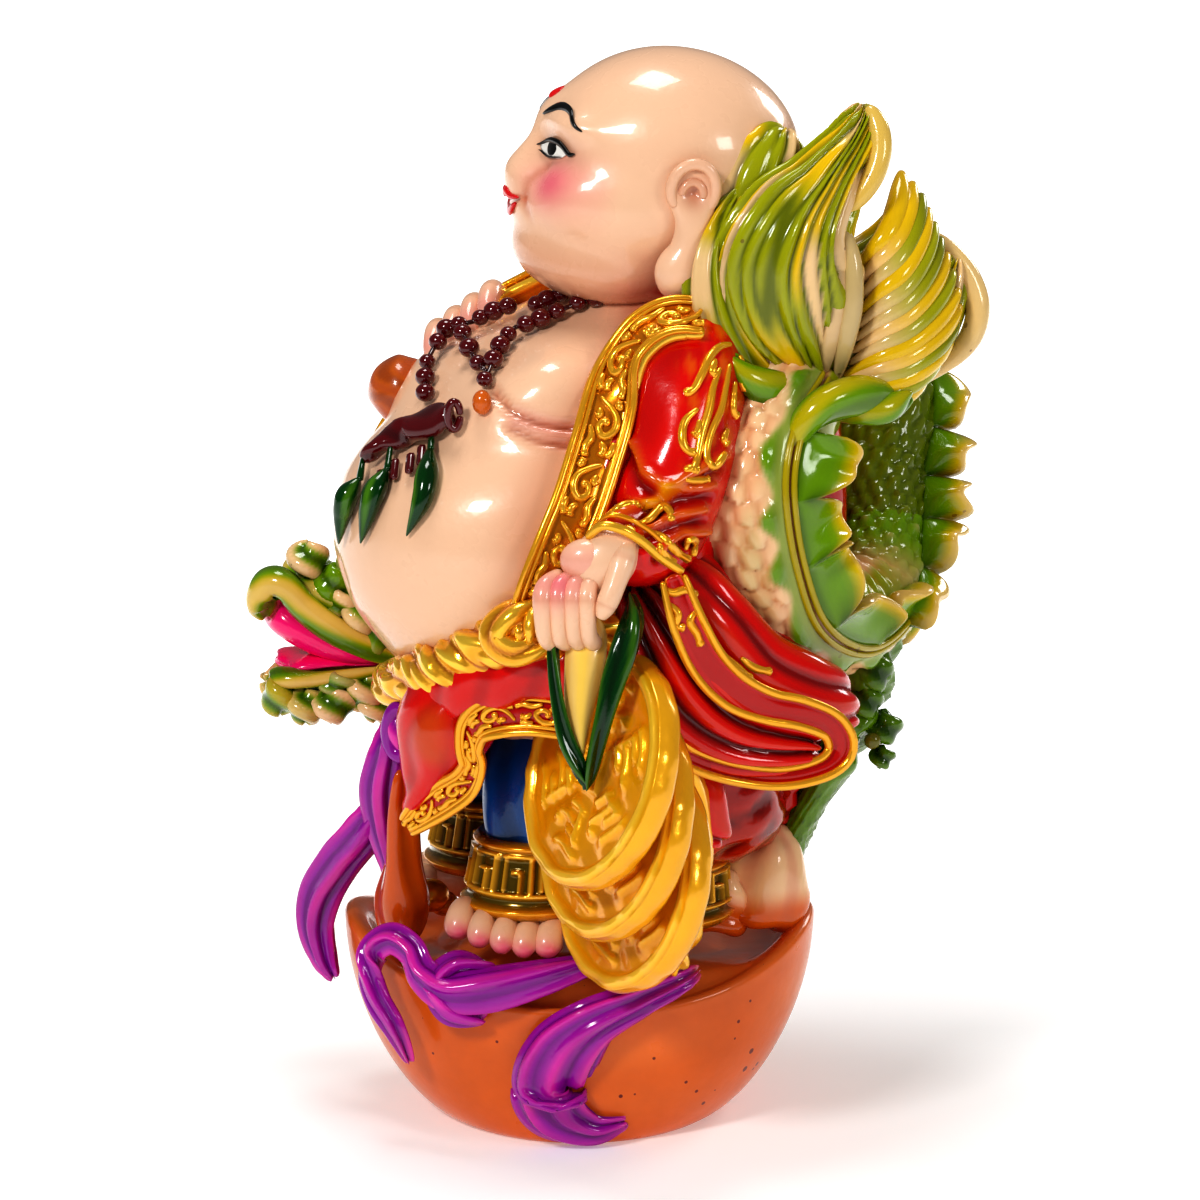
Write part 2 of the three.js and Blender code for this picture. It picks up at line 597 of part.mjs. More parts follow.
function tail_tuft() {
	return joined(tail_flames.map(([stations, flutes]) => limb([[...tail_root, 6, 6], ...stations], {
		around: 2 * flutes, along: stations.length, side: [1, 0.2, 0], blunt: 2.6,
		relief: (u) => 0.08 * Math.cos(full_turn * flutes * u),
	})));
}

// The dragon's head looks forward past the monk's right hip, with its jaws open
function dragon_head() {
	const side = [0.1, 0, 1];
	const upper = limb([
		[-34, 33, 59, 9, 10], [-48, 31, 62, 9, 12], [-60, 31, 69, 8, 12], [-71, 31, 71, 9, 12],
		[-79, 30, 65, 6, 10],
	], { around: 8, along: 6, side });
	const lower = limb([
		[-34, 33, 51, 6, 9], [-50, 30, 49, 5.5, 10], [-62, 30, 48.5, 5, 10], [-71, 30, 49.5, 4.5, 9],
		[-76, 29, 48, 3, 6],
	], { around: 8, along: 5, side });
	const hinge = limb([[-30, 34, 55, 10, 10], [-40, 32, 55, 9, 10], [-49, 31, 55, 6, 8]],
		{ around: 6, along: 3, side });
	const lumps = [
		[[-63, 26, 78.5], [5.5, 5, 4.5]], [[-63, 37, 78.5], [5.5, 5, 4.5]], [[-54, 21, 73], [5, 4, 5]],
		[[-54, 41, 73], [5, 4, 5]], [[-46, 24, 67], [6, 5, 6]],
	].map(([centre, radii]) => egg(centre, radii, 6, 3));
	const mane = [
		[[-42, 30, 64, 6, 5], [-36, 34, 74, 5, 3], [-28, 40, 84, 2, 2]],
		[[-40, 38, 60, 6, 5], [-32, 46, 68, 5, 3], [-22, 50, 76, 2, 2]],
		[[-36, 32, 47, 6, 5], [-28, 34, 38, 5, 3], [-24, 38, 28, 2, 2]],
	].map((stations) => limb(stations, { around: 4, along: 4, side }));
	return joined([upper, lower, hinge, ...lumps, ...mane]);
}

// Assembly

function whole_figure() {
	return joined([
		ingot(), torso.solid(18, 10), neck_roll(), head(), ear(1), ear(-1),
		robe.solid(27, 7), robe_back(), skirt(), lapel(1), lapel(-1), sash(), sleeves(),
		leg(left_ankle, [2, -16, 58]), leg(right_ankle, [-8, 12, 58]),
		foot([-8, -10, 5], [-15, -28, 5], [18, -6], 5), foot([-18, 13, 5], [-33, 21, 5], [6, 18], 4),
		left_hand(), right_hand(), necklace(), gourd(), coin_string(), purple_ribbons(),
		dragon_body(), dragon_root(), fins(), tail_tuft(), dragon_head(),
	]);
}

// The outer skin of a solid: the cast is full where its forms close off a hollow.
function outer_skin(mesh) {
	const corners = mesh.triVerts;
	const parent = Array.from({ length: mesh.numVert }, (_, i) => i);
	const root = (i) => {
		while (parent[i] !== i) i = parent[i];
		return i;
	};
	for (let i = 0; i < corners.length; i += 3) {
		for (const next of [corners[i + 1], corners[i + 2]]) {
			const [a, b] = [root(corners[i]), root(next)];
			parent[Math.max(a, b)] = Math.min(a, b);
		}
	}
	let lowest = 0;
	for (let i = 0; i < mesh.numVert; i++) {
		if (mesh.vertProperties[3 * i + 2] < mesh.vertProperties[3 * lowest + 2]) lowest = i;
	}
	const kept = [];
	for (let i = 0; i < corners.length; i += 3) {
		if (root(corners[i]) === root(lowest)) kept.push(...corners.subarray(i, i + 3));
	}
	return kept;
}

function geometry_of(manifold) {
	const mesh = manifold.getMesh();
	const geometry = new THREE.BufferGeometry();
	geometry.setAttribute('position', new THREE.BufferAttribute(mesh.vertProperties, 3));
	geometry.setIndex(outer_skin(mesh));
	geometry.computeVertexNormals();
	return geometry;
}

const painted_resin = new THREE.MeshStandardMaterial({ color: 0xd9562b, roughness: 0.25, metalness: 0 });

const model = new THREE.Group();
const figure = new THREE.Mesh(geometry_of(whole_figure()), painted_resin);
figure.name = 'figure';
model.add(figure);

export default model;
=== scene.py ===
"""Painted resin figurine of a laughing monk with a dragon, on a gold ingot.

The forms are drawn in millimetres, with z counted from the monk's soles, and are brought to the frame's
metres when a piece is made. The monk faces -X, turned towards -Y, where the camera stands.
"""
import math

import bpy
import numpy as np
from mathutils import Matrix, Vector
from numpy import (array, asarray, broadcast_arrays, clip, column_stack, concatenate, cos, cross, full, hypot,
                   interp, linspace, moveaxis, pi, radians, sin, stack, where)


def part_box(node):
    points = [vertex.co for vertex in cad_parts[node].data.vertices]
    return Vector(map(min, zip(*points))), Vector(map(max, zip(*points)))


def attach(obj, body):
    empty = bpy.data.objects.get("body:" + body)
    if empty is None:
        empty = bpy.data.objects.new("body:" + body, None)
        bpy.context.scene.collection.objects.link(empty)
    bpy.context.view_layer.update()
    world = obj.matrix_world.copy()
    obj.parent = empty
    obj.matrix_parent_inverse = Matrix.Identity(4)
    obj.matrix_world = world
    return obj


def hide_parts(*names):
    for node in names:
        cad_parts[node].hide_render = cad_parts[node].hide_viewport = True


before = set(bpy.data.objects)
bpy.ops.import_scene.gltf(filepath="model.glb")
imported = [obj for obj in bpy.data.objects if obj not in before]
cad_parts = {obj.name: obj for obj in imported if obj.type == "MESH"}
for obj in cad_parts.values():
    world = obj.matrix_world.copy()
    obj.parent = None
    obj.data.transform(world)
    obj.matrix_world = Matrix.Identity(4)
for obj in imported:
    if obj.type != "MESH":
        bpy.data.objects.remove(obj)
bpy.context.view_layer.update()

bl_info = {
    "name": "Laughing monk figurine",
    "version": (1, 0, 0),
    "blender": (4, 5, 0),
    "location": "3D View > Sidebar > Figurine",
    "description": "A painted resin monk with a dragon on a gold ingot",
    "category": "Object",
}

# Driving sizes of the drawing, in millimetres
drawn_height = 251.0
stand_height = 44.0
body_turn = math.radians(28)
torso_axis_x = 6.5
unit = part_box("figure")[1][2] / drawn_height
tau = 2 * pi

# How finely each form is divided: a share of the counts that its own function asks for
fineness = 0.785


# Sizes and colours that a user would change

def colour(label, default):
    """A colour setting that is given in sRGB and kept as linear light."""
    linear = [channel / 12.92 if channel <= 0.04045 else ((channel + 0.055) / 1.055) ** 2.4
              for channel in default]
    return bpy.props.FloatVectorProperty(
        name=label, description=f"The paint used for the {label.lower()}", subtype="COLOR", size=3,
        min=0, max=1, default=linear)


def length(label, default, description):
    """A length setting in metres."""
    return bpy.props.FloatProperty(
        name=label, description=description, default=default * unit, min=0, unit="LENGTH", subtype="DISTANCE")


class FigurineSizes(bpy.types.PropertyGroup):
    """Sizes of the carving"""
    coin_diameter: length("Coin diameter", 53, "Width of each coin on the string")
    coin_thickness: length("Coin thickness", 6.6, "Depth of a coin at its rim")
    bead_diameter: length("Bead diameter", 4.4, "Width of the larger beads of the necklace")
    fold_depth: length("Fold depth", 1.4, "Depth of the robe's small folds")
    flute_depth: length("Flute depth", 1.7, "Depth of the flutes in the dragon's tail")
    scale_depth: length("Scale depth", 1.0, "Height of the dragon's scales")
    wire_radius: length("Trim radius", 0.95, "Radius of the gold rims and scrolls")


class FigurinePaints(bpy.types.PropertyGroup):
    """Colours of the paint"""
    skin: colour("Skin", (0.945, 0.775, 0.645))
    flush: colour("Flush", (0.90, 0.38, 0.48))
    # Painted shade in the skin's creases and hollows and in the root folds' troughs; also the gourd's grain
    skin_hollow: colour("Skin hollows", (0.74, 0.35, 0.20))
    lip: colour("Lips", (0.85, 0.07, 0.10))
    eye_white: colour("Eye white", (0.97, 0.95, 0.92))
    # Black of the brows; also painted shade on the trousers, in the bar's grooves and in the peppers' and
    # cord's troughs
    ink: colour("Brow ink", (0.01, 0.01, 0.01))
    red: colour("Robe", (0.85, 0.04, 0.01))
    # Painted shade in the robe's troughs and towards the dragon's throat; also the bands' sunk middles and
    # the specks
    deep_red: colour("Robe hollows", (0.33, 0.0, 0.01))
    # The robe's orange foot and strip; also on its ridges, crests and knee as painted highlight
    orange: colour("Robe foot", (0.80, 0.30, 0.06))
    # Gold; also painted shade in the troughs of the pale slip
    gold: colour("Gold", (0.93, 0.62, 0.03))
    # Pale gold on edges and raised lines, and on the crests of gathered gold cloth as painted highlight
    yellow_gold: colour("Gold edges", (1.0, 0.84, 0.30))
    # The lapels' ground, and painted shade in the troughs of the sash and its knots
    deep_gold: colour("Gold hollows", (0.62, 0.17, 0.01))
    coin_gold: colour("Coins", (1.0, 0.72, 0.03))
    # Painted shade in the coins' low relief and in the strap's troughs
    coin_hollow: colour("Coin hollows", (0.80, 0.46, 0.0))
    ingot: colour("Ingot", (0.86, 0.40, 0.065))
    # Paler patches of the ingot, and painted light over its shaded top
    pale_ingot: colour("Ingot's pale patches and painted light", (0.92, 0.50, 0.22))
    deep_ingot: colour("Ingot's shaded foot", (0.52, 0.17, 0.05))
    purple: colour("Ribbon", (0.60, 0.06, 0.62))
    # Painted shade in the ribbons' troughs
    deep_purple: colour("Ribbon hollows", (0.20, 0.02, 0.34))
    # Pink on the ribbons' crests, partly painted highlight, and on their faded ends
    magenta: colour("Ribbon fade", (0.92, 0.22, 0.68))
    blue: colour("Trousers", (0.0, 0.34, 0.66))
    leaf: colour("Dragon green", (0.44, 0.60, 0.0))
    # Painted shade in the dragon's troughs, between its fin lobes and in its lumps; also the cuffs' dark
    # ground
    deep_leaf: colour("Dragon hollows", (0.09, 0.22, 0.0))
    # Yellow and cream of the dragon; on the crests of its curled jaws, locks, lumps and leaves they are
    # partly painted highlight
    yellow: colour("Dragon yellow", (0.92, 0.75, 0.06))
    cream: colour("Dragon cream", (0.96, 0.80, 0.62))
    olive: colour("Dragon olive", (0.46, 0.44, 0.10))
    mouth: colour("Dragon's mouth", (0.98, 0.05, 0.48))
    maroon: colour("Beads", (0.36, 0.01, 0.05))
    pepper: colour("Peppers", (0.0, 0.24, 0.05))
    pepper_light: colour("Pepper highlights", (0.36, 0.56, 0.10))
    # The gourd; also painted shade between the dragon's front scales, in its ribs and in its seam
    gourd: colour("Gourd", (0.80, 0.40, 0.10))


def paint_of(name):
    return tuple(getattr(bpy.context.scene.figurine_paints, name))


def drawn(size):
    """A size setting in the drawing's millimetres."""
    return getattr(bpy.context.scene.figurine_sizes, size) / unit


# Curves and steps

def mix(a, b, t):
    return a + (b - a) * t


def step(x, low, high):
    """0 below low, 1 above high and 3t^2 - 2t^3 between."""
    t = clip((x - low) / (high - low), 0, 1)
    return t * t * (3 - 2 * t)


def bell(x, width):
    """exp(-(x / width)^2), which is 1 at 0."""
    return np.exp(-(asarray(x) / width) ** 2)


def unit_of(vectors):
    return vectors / np.maximum(np.linalg.norm(vectors, axis=-1, keepdims=True), 1e-9)


def smooth(points, t):
    """The Catmull-Rom spline through evenly spaced points, at t from 0 to 1; its ends go straight on."""
    points = asarray(points, float)
    padded = np.vstack([2 * points[0] - points[1], points, 2 * points[-1] - points[-2]])
    place = clip(t, 0, 1) * (len(points) - 1)
    k = np.minimum(place.astype(int), len(points) - 2)
    w = (place - k)[..., None]
    before, start, end, after = (padded[k + i] for i in range(4))
    leave = (end - before) / 2
    arrive = (after - start) / 2
    bend = 3 * (end - start) - 2 * leave - arrive
    return start + leave * w + bend * w ** 2 + (2 * (start - end) + leave + arrive) * w ** 3


def line_of(points, count):
    """The smooth line through the points, at `count` even steps."""
    return smooth(points, linspace(0, 1, count))


def length_along(path):
    """The length of a path up to each of its points."""
    return concatenate([[0], np.cumsum(np.linalg.norm(np.diff(path, axis=0), axis=1))])


def halve(depth_at, near, far, rounds):
    """The last place between near and far where depth_at is below 0."""
    for _ in range(rounds):
        middle = (near + far) / 2
        inside = depth_at(middle) < 0
        near, far = where(inside, middle, near), where(inside, far, middle)
    return near


def laid(place, first, second, lift):
    """The line that `place` gives, `lift` above its surface, and the outward directions along it."""
    path = place(first, second, lift)
    return path, place(first, second, lift + 1) - path


def distance_to(x, y, path):
    """How far each flat point (x, y) is from a path of straight pieces."""
    path = asarray(path, float)
    flat = stack([x, y], axis=-1)
    best = full(np.shape(x), 1e9)
    for start, end in zip(path[:-1], path[1:]):
        way = end - start
        share = clip((flat - start) @ way / (way @ way), 0, 1)
        best = np.minimum(best, np.linalg.norm(flat - start - share[..., None] * way, axis=-1))
    return best


def body(forward, left, up):
    """Terms of the turned body (forward, left, up) as the drawing's x, y, z."""
    x = torso_axis_x - forward * math.cos(body_turn) + left * math.sin(body_turn)
    y = -forward * math.sin(body_turn) - left * math.cos(body_turn)
    return stack(broadcast_arrays(x, y, up), axis=-1)


# Forms

class Form:
    """A closed skin: rows of points, each row going once round, and masks from 0 to 1 for its paint.

    The first and the last row close to one point each. `turn` and `along` are each point's place from
    0 to 1 round the row and from the first row to the last."""

    def __init__(self, points, turn, along):
        self.points = points
        self.turn = turn
        self.along = along
        self.masks = {"accent": 0.0, "edge": 0.0, "recess": 0.0}

    def normals(self):
        """Outward directions: the cross product of the grid's two differences."""
        across = np.roll(self.points, -1, axis=1) - np.roll(self.points, 1, axis=1)
        down = np.gradient(self.points, axis=0)
        normal = unit_of(cross(across, down))
        outward = self.points - self.points.mean(axis=1, keepdims=True)
        return normal if (normal * outward).sum() > 0 else -normal

    def lift(self, height):
        """Moves the skin outwards by the height given for each point."""
        self.points = self.points + self.normals() * np.broadcast_to(height, self.turn.shape)[..., None]
        return self

    def paint(self, **masks):
        for name, mask in masks.items():
            self.masks[name] = clip(np.broadcast_to(mask, self.turn.shape), 0, 1)
        return self


def grid_of(around, rows):
    """The turn and along values of a form's grid."""
    around, rows = max(6, round(fineness * around)), max(8, round(fineness * rows))
    return np.meshgrid(np.arange(around) / around, linspace(0, 1, rows + 1))


def tube(stations, side=(0, 0, 1), around=40, rows=60, blunt=3.0, swell=None):
    """A closed skin round a smooth path.

    At a station [x, y, z, half width, half depth] the section is an ellipse whose width lies along `side`,
    one direction or one for each station. Without a half depth it is round. The ends close as
    (1 - |2t - 1|^blunt)^(1 / blunt).
    """
    stations = array([[*station, station[3]][:5] for station in stations], float)
    sides = asarray(side, float)
    if sides.ndim == 1:
        sides = np.repeat(sides[None], len(stations), axis=0)
    turn, along = grid_of(around, rows)
    t = mix(along[:, 0], (1 - cos(pi * along[:, 0])) / 2, 0.6)
    values = smooth(stations, t)
    tangent = unit_of(smooth(stations[:, :3], t + 1e-3) - smooth(stations[:, :3], t - 1e-3))
    wide = smooth(sides, t)
    wide = unit_of(wide - (wide * tangent).sum(axis=1, keepdims=True) * tangent)
    deep = cross(tangent, wide)
    end = (1 - np.abs(2 * t - 1) ** blunt).clip(0) ** (1 / blunt)
    scale = end[:, None] * (1 + (swell(turn, along) if swell else 0))
    out = scale * values[:, 3:4] * cos(tau * turn)
    up = scale * values[:, 4:5] * sin(tau * turn)
    points = values[:, None, :3] + out[..., None] * wide[:, None] + up[..., None] * deep[:, None]
    return Form(points, turn, along)


def egg(centre, radii, around=32, rows=20):
    """A ball with half sizes along the drawing's axes."""
    turn, along = grid_of(around, rows)
    out = sin(pi * along)
    ball = stack([out * cos(tau * turn), out * sin(tau * turn), -cos(pi * along)], axis=-1)
    return Form(asarray(centre) + ball * asarray(radii), turn, along)


def waved(form, folds, wind, height, shift=0.0, **masks):
    """Lifts a form in waves, `folds` round it and `wind` radians along it, and paints it.

    A mask given as (share, start, end, base) covers the crests, or the troughs where it is the recess. In the
    troughs it is painted shade, and on the crests it is mostly painted highlight."""
    wave = cos(tau * folds * form.turn + wind * form.along + shift)
    form.lift(height * wave)
    for key, mask in masks.items():
        if isinstance(mask, tuple):
            share, start, end, base = (*mask, 0.0)[:4]
            masks[key] = share * step(-wave if key == "recess" else wave, start, end) + base
    return form.paint(**masks)


def wire(path, radius, normal, sides=8, rows=40, flat=0.8):
    """A thin bead along a path, its section flattened along `normal`."""
    normal = unit_of(np.broadcast_to(asarray(normal, float), np.shape(path)))
    radius = np.broadcast_to(radius, len(path))
    stations = column_stack([path, radius * flat, radius])
    return tube(stations, side=normal, around=sides, rows=rows, blunt=6)


def front_of(forms):
    """Lays flat points (x, z) on the foremost of the forms' skins, as the front view shows them."""
    points = concatenate([form.points[1:-1].reshape(-1, 3) for form in forms])
    normals = concatenate([form.normals()[1:-1].reshape(-1, 3) for form in forms])
    seen = normals @ unit_of(array([0, -1, 0.22])) > 0.1
    points, normals = points[seen], normals[seen]

    def place(x, z, lift=0.0):
        x, z = broadcast_arrays(asarray(x, float), asarray(z, float))
        gap = (points[:, 0] - x[..., None]) ** 2 + (points[:, 2] - z[..., None]) ** 2
        front = where(gap < 9, points[:, 1], 1e3).min(axis=-1, keepdims=True)
        behind = clip(points[:, 1] - front - 4, 0, 50)
        weight = np.exp(gap.min(axis=-1, keepdims=True) - gap / 1.5 - behind)
        weight /= weight.sum(axis=-1, keepdims=True)
        normal = unit_of(weight @ normals)
        return stack([x, weight @ points[:, 1], z], axis=-1) + normal * asarray(lift, float)[..., None]
    return place


class Standing:
    """A standing form, an ellipse at each level [up, forward, half depth, half width] of the turned body.

    relief(turn, up) swells it, with the turn in degrees from the front towards the left."""

    def __init__(self, levels, relief):
        self.table = line_of(levels, 400)
        self.relief = relief

    def at(self, turn, up, lift=0.0):
        turn, up = broadcast_arrays(asarray(turn, float), asarray(up, float))
        centre, depth, width = (interp(up, self.table[:, 0], self.table[:, k]) for k in (1, 2, 3))
        swell = 1 + self.relief(turn, up)
        angle = radians(turn)
        return body(centre + (depth * swell + lift) * cos(angle), (width * swell + lift) * sin(angle), up)

    def form(self, around, rows):
        """The whole skin, with flat ends, and the turn and up of each point."""
        turn, along = grid_of(around, rows)
        degrees = 360 * turn - 180
        last = len(turn) - 1
        level = clip((along * last - 1) / (last - 2), 0, 1)
        up = mix(self.table[0, 0], self.table[-1, 0], level)
        skin = Form(self.at(degrees, up), turn, along)
        middle = (self.at(0, up[:, 0]) + self.at(180, up[:, 0])) / 2
        skin.points[0] = middle[0]
        skin.points[-1] = middle[-1]
        return skin, degrees, up


# Meshes

def mesh_piece(name, forms, material):
    """One object from several forms: quads, a fan at each pole, and the masks as attributes."""
    points, corners, starts, masks = [], [], [], {"accent": [], "edge": [], "recess": []}
    first = corner_count = 0
    for form in forms:
        rows, around = form.turn.shape
        inner = form.points[1:-1].reshape(-1, 3)
        skin = np.vstack([form.points[0].mean(axis=0), inner, form.points[-1].mean(axis=0)])
        ring = 1 + np.arange((rows - 2) * around).reshape(rows - 2, around)
        after = np.roll(ring, -1, axis=1)
        quads = stack([ring[:-1], after[:-1], after[1:], ring[1:]], axis=-1).reshape(-1, 4)
        last = len(skin) - 1
        low = stack([np.zeros_like(ring[0]), after[0], ring[0]], axis=-1)
        high = stack([np.full_like(ring[-1], last), ring[-1], after[-1]], axis=-1)
        fans = np.vstack([low, high])
        a, b, c = (skin[fans[:, k]] for k in range(3))
        volume = (a * cross(b, c)).sum()
        a, b, c, d = (skin[quads[:, k]] for k in range(4))
        volume += (a * cross(b, c)).sum() + (a * cross(c, d)).sum()
        if volume < 0:
            quads, fans = quads[:, ::-1], fans[:, ::-1]
        points.append(skin)
        corners += [(quads + first).ravel(), (fans + first).ravel()]
        starts.append(corner_count + 4 * np.arange(len(quads)))
        corner_count += quads.size
        starts.append(corner_count + 3 * np.arange(len(fans)))
        corner_count += fans.size
        first += len(skin)
        for key, kept in masks.items():
            mask = np.broadcast_to(form.masks[key], form.turn.shape)
            kept.append(concatenate([mask[0].mean(keepdims=True), mask[1:-1].ravel(),
                                     mask[-1].mean(keepdims=True)]))
    place = np.vstack(points)
    place[:, 2] += stand_height
    corners = concatenate(corners)
    starts = concatenate(starts)
    mesh = bpy.data.meshes.new(name)
    mesh.vertices.add(len(place))
    mesh.vertices.foreach_set("co", (place * unit).astype(np.float32).ravel())
    mesh.loops.add(len(corners))
    mesh.loops.foreach_set("vertex_index", corners.astype(np.int32))
    mesh.polygons.add(len(starts))
    mesh.polygons.foreach_set("loop_start", starts.astype(np.int32))
    mesh.polygons.foreach_set("use_smooth", np.ones(len(starts), bool))
    mesh.update(calc_edges=True)
    for key, kept in masks.items():
        attribute = mesh.attributes.new(key, "FLOAT", "POINT")
        attribute.data.foreach_set("value", concatenate(kept).astype(np.float32))
    mesh.materials.append(material)
    piece = bpy.data.objects.new(name, mesh)
    bpy.context.scene.collection.objects.link(piece)
    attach(piece, "root")
    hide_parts("figure")
    return piece


# Materials

# The paint's clouds, specks, patches of specks and ripples to a metre, and the ripples' depth in mm
cloud_scale, speck_scale, patch_scale, ripple_scale = 55.0, 190.0, 37.0, 260.0
ripple_depth = 0.6


def connect(tree, value, socket):
    """Links a value that is a socket to another one, or sets it."""
    if isinstance(value, bpy.types.NodeSocket):
        tree.links.new(value, socket)
    else:
        socket.default_value = value


def node(tree, kind, **inputs):
    """A node with the given values on its inputs."""
    made = tree.nodes.new(kind)
    for key, value in inputs.items():
        connect(tree, value, made.inputs[int(key[1:]) if key[0] == "_" else key.replace("_", " ")])
    return made


def colour_mix(tree, factor, first, second):
    mixer = tree.nodes.new("ShaderNodeMix")
    mixer.data_type = "RGBA"
    for number, value in ((0, factor), (6, first), (7, second)):
        connect(tree, value, mixer.inputs[number])
    return mixer.outputs[2]


def math_node(tree, operation, first, second):
    made = node(tree, "ShaderNodeMath", _0=first, _1=second)
    made.operation = operation
    made.use_clamp = True
    return made.outputs[0]


def layered_paint_group():
    """Four paints laid over one another by the piece's masks, then a soft mottle, pinholes and specks. The
    recess paint mostly lays painted shade in hollows and troughs, and paint laid on crests is mostly painted
    highlight.
    """
    name = "Airbrushed paint"
    if name in bpy.data.node_groups:
        return bpy.data.node_groups[name]
    tree = bpy.data.node_groups.new(name, "ShaderNodeTree")
    for key in ("Base", "Accent", "Edge", "Recess", "Speck"):
        tree.interface.new_socket(key, in_out="INPUT", socket_type="NodeSocketColor")
    for key in ("Mottle", "Specks", "Gloss", "Texture"):
        tree.interface.new_socket(key, in_out="INPUT", socket_type="NodeSocketFloat")
    tree.interface.new_socket("Color", in_out="OUTPUT", socket_type="NodeSocketColor")
    tree.interface.new_socket("Roughness", in_out="OUTPUT", socket_type="NodeSocketFloat")
    tree.interface.new_socket("Normal", in_out="OUTPUT", socket_type="NodeSocketVector")
    given = tree.nodes.new("NodeGroupInput").outputs
    result = tree.nodes.new("NodeGroupOutput").inputs
    place = tree.nodes.new("ShaderNodeTexCoord").outputs["Object"]
    paint = given["Base"]
    for key in ("Accent", "Edge", "Recess"):
        mask = tree.nodes.new("ShaderNodeAttribute")
        mask.attribute_name = key.lower()
        paint = colour_mix(tree, mask.outputs["Fac"], paint, given[key])
    cloud = node(tree, "ShaderNodeTexNoise", Vector=place, Scale=cloud_scale, Detail=4.0,
                 Roughness=0.6).outputs["Fac"]
    level = node(tree, "ShaderNodeMapRange", Value=cloud, _1=0.3, _2=0.7, _3=1.12, _4=0.86).outputs[0]
    shade = node(tree, "ShaderNodeHueSaturation", Color=paint, Value=level, Fac=given["Mottle"]).outputs[0]
    dots = node(tree, "ShaderNodeTexVoronoi", Vector=place, Scale=speck_scale)
    size = node(tree, "ShaderNodeTexNoise", Vector=place, Scale=patch_scale, Detail=1.0).outputs["Fac"]
    radius = node(tree, "ShaderNodeMapRange", Value=size, _1=0.52, _2=0.75, _3=0.0, _4=0.22).outputs[0]
    inside = math_node(tree, "LESS_THAN", dots.outputs["Distance"], radius)
    speck = math_node(tree, "MULTIPLY", inside, given["Specks"])
    tree.links.new(colour_mix(tree, speck, shade, given["Speck"]), result["Color"])
    gloss = node(tree, "ShaderNodeMapRange", Value=cloud, _1=0.3, _2=0.7, _3=0.85, _4=1.3).outputs[0]
    tree.links.new(math_node(tree, "MULTIPLY", gloss, given["Gloss"]), result["Roughness"])
    ripple = node(tree, "ShaderNodeTexNoise", Vector=place, Scale=ripple_scale, Detail=3.0,
                  Roughness=0.55).outputs["Fac"]
    bump = node(tree, "ShaderNodeBump", Strength=given["Texture"], Distance=ripple_depth * unit,
                Height=ripple)
    tree.links.new(bump.outputs[0], result["Normal"])
    return tree


def paint_material(name, base, accent=None, edge=None, recess=None, speck="deep_red", metallic=0.0,
                   gloss=0.16, mottle=0.35, specks=0.0, texture=0.18, coat=0.6):
    """Gloss paint on cast resin under a clear lacquer coat; its recess paint mostly serves as painted shade.
    """
    if name in bpy.data.materials:
        return bpy.data.materials[name]
    material = bpy.data.materials.new(name)
    material.use_nodes = True
    tree = material.node_tree
    group = tree.nodes.new("ShaderNodeGroup")
    group.node_tree = layered_paint_group()
    paints = {"Base": base, "Accent": accent or base, "Edge": edge or base, "Recess": recess or base,
              "Speck": speck}
    for key, paint in paints.items():
        group.inputs[key].default_value = (*paint_of(paint), 1)
    for key, value in (("Mottle", mottle), ("Specks", specks), ("Gloss", gloss), ("Texture", texture)):
        group.inputs[key].default_value = value
    looks = {"Base Color": group.outputs["Color"], "Roughness": group.outputs["Roughness"],
             "Normal": group.outputs["Normal"], "Metallic": metallic, "Specular IOR Level": 0.3,
             "Coat Weight": coat, "Coat Roughness": 0.07}
    for key, value in looks.items():
        connect(tree, value, tree.nodes["Principled BSDF"].inputs[key])
    return material


def skin_paint():
    return paint_material("Skin paint", "skin", "flush", "lip", "skin_hollow", gloss=0.27, mottle=0.1,
                          texture=0.22)


def red_paint():
    return paint_material("Red lacquer", "red", "orange", "gold", "deep_red", gloss=0.16, mottle=0.3,
                          texture=0.16)


def gold_paint():
    return paint_material("Gold lacquer", "gold", "orange", "yellow_gold", "deep_gold", metallic=0.55,
                          gloss=0.2, mottle=0.5, texture=0.2)


def cuff_paint():
    return paint_material("Cuff gold", "gold", "orange", "yellow_gold", "deep_leaf", metallic=0.5, gloss=0.2)


def coin_paint():
    return paint_material("Coin gold", "coin_gold", "gold", "yellow_gold", "coin_hollow", metallic=0.3,
                          gloss=0.2, mottle=0.5, texture=0.25)


def slip_paint():
    return paint_material("Cream cloth", "cream", "gold", "yellow_gold", "gold", gloss=0.2)


def ingot_paint():
    return paint_material("Ingot glaze", "ingot", "pale_ingot", "pale_ingot", "deep_ingot", speck="maroon",
                          gloss=0.3, mottle=0.6, specks=0.9, texture=0.2, coat=0.5)


def ribbon_paint():
    return paint_material("Purple lacquer", "purple", "magenta", "ingot", "deep_purple", gloss=0.14,
                          mottle=0.7, texture=0.3)


def blue_paint():
    return paint_material("Trouser paint", "blue", "ink", "skin", "ink", gloss=0.3, mottle=0.4)


def leaf_paint():
    return paint_material("Dragon green paint", "leaf", "yellow", "cream", "deep_leaf", specks=0.5,
                          mottle=0.5)


def scale_paint():
    return paint_material("Dragon scale paint", "cream", "leaf", "yellow", "gourd", specks=0.3, mottle=0.35)


def back_scale_paint():
    return paint_material("Dragon back paint", "olive", "leaf", "cream", "deep_leaf", specks=0.3, mottle=0.9)


def pillar_paint():
    return paint_material("Root paint", "cream", "flush", "ingot", "skin_hollow", specks=0.4, mottle=0.4)


def mouth_paint():
    return paint_material("Mouth paint", "mouth", "deep_red", "cream", "leaf", gloss=0.2, mottle=0.3)


def bead_paint():
    return paint_material("Bead paint", "maroon", "red", "gourd", "ink", gloss=0.1, mottle=0.3, coat=1.0)


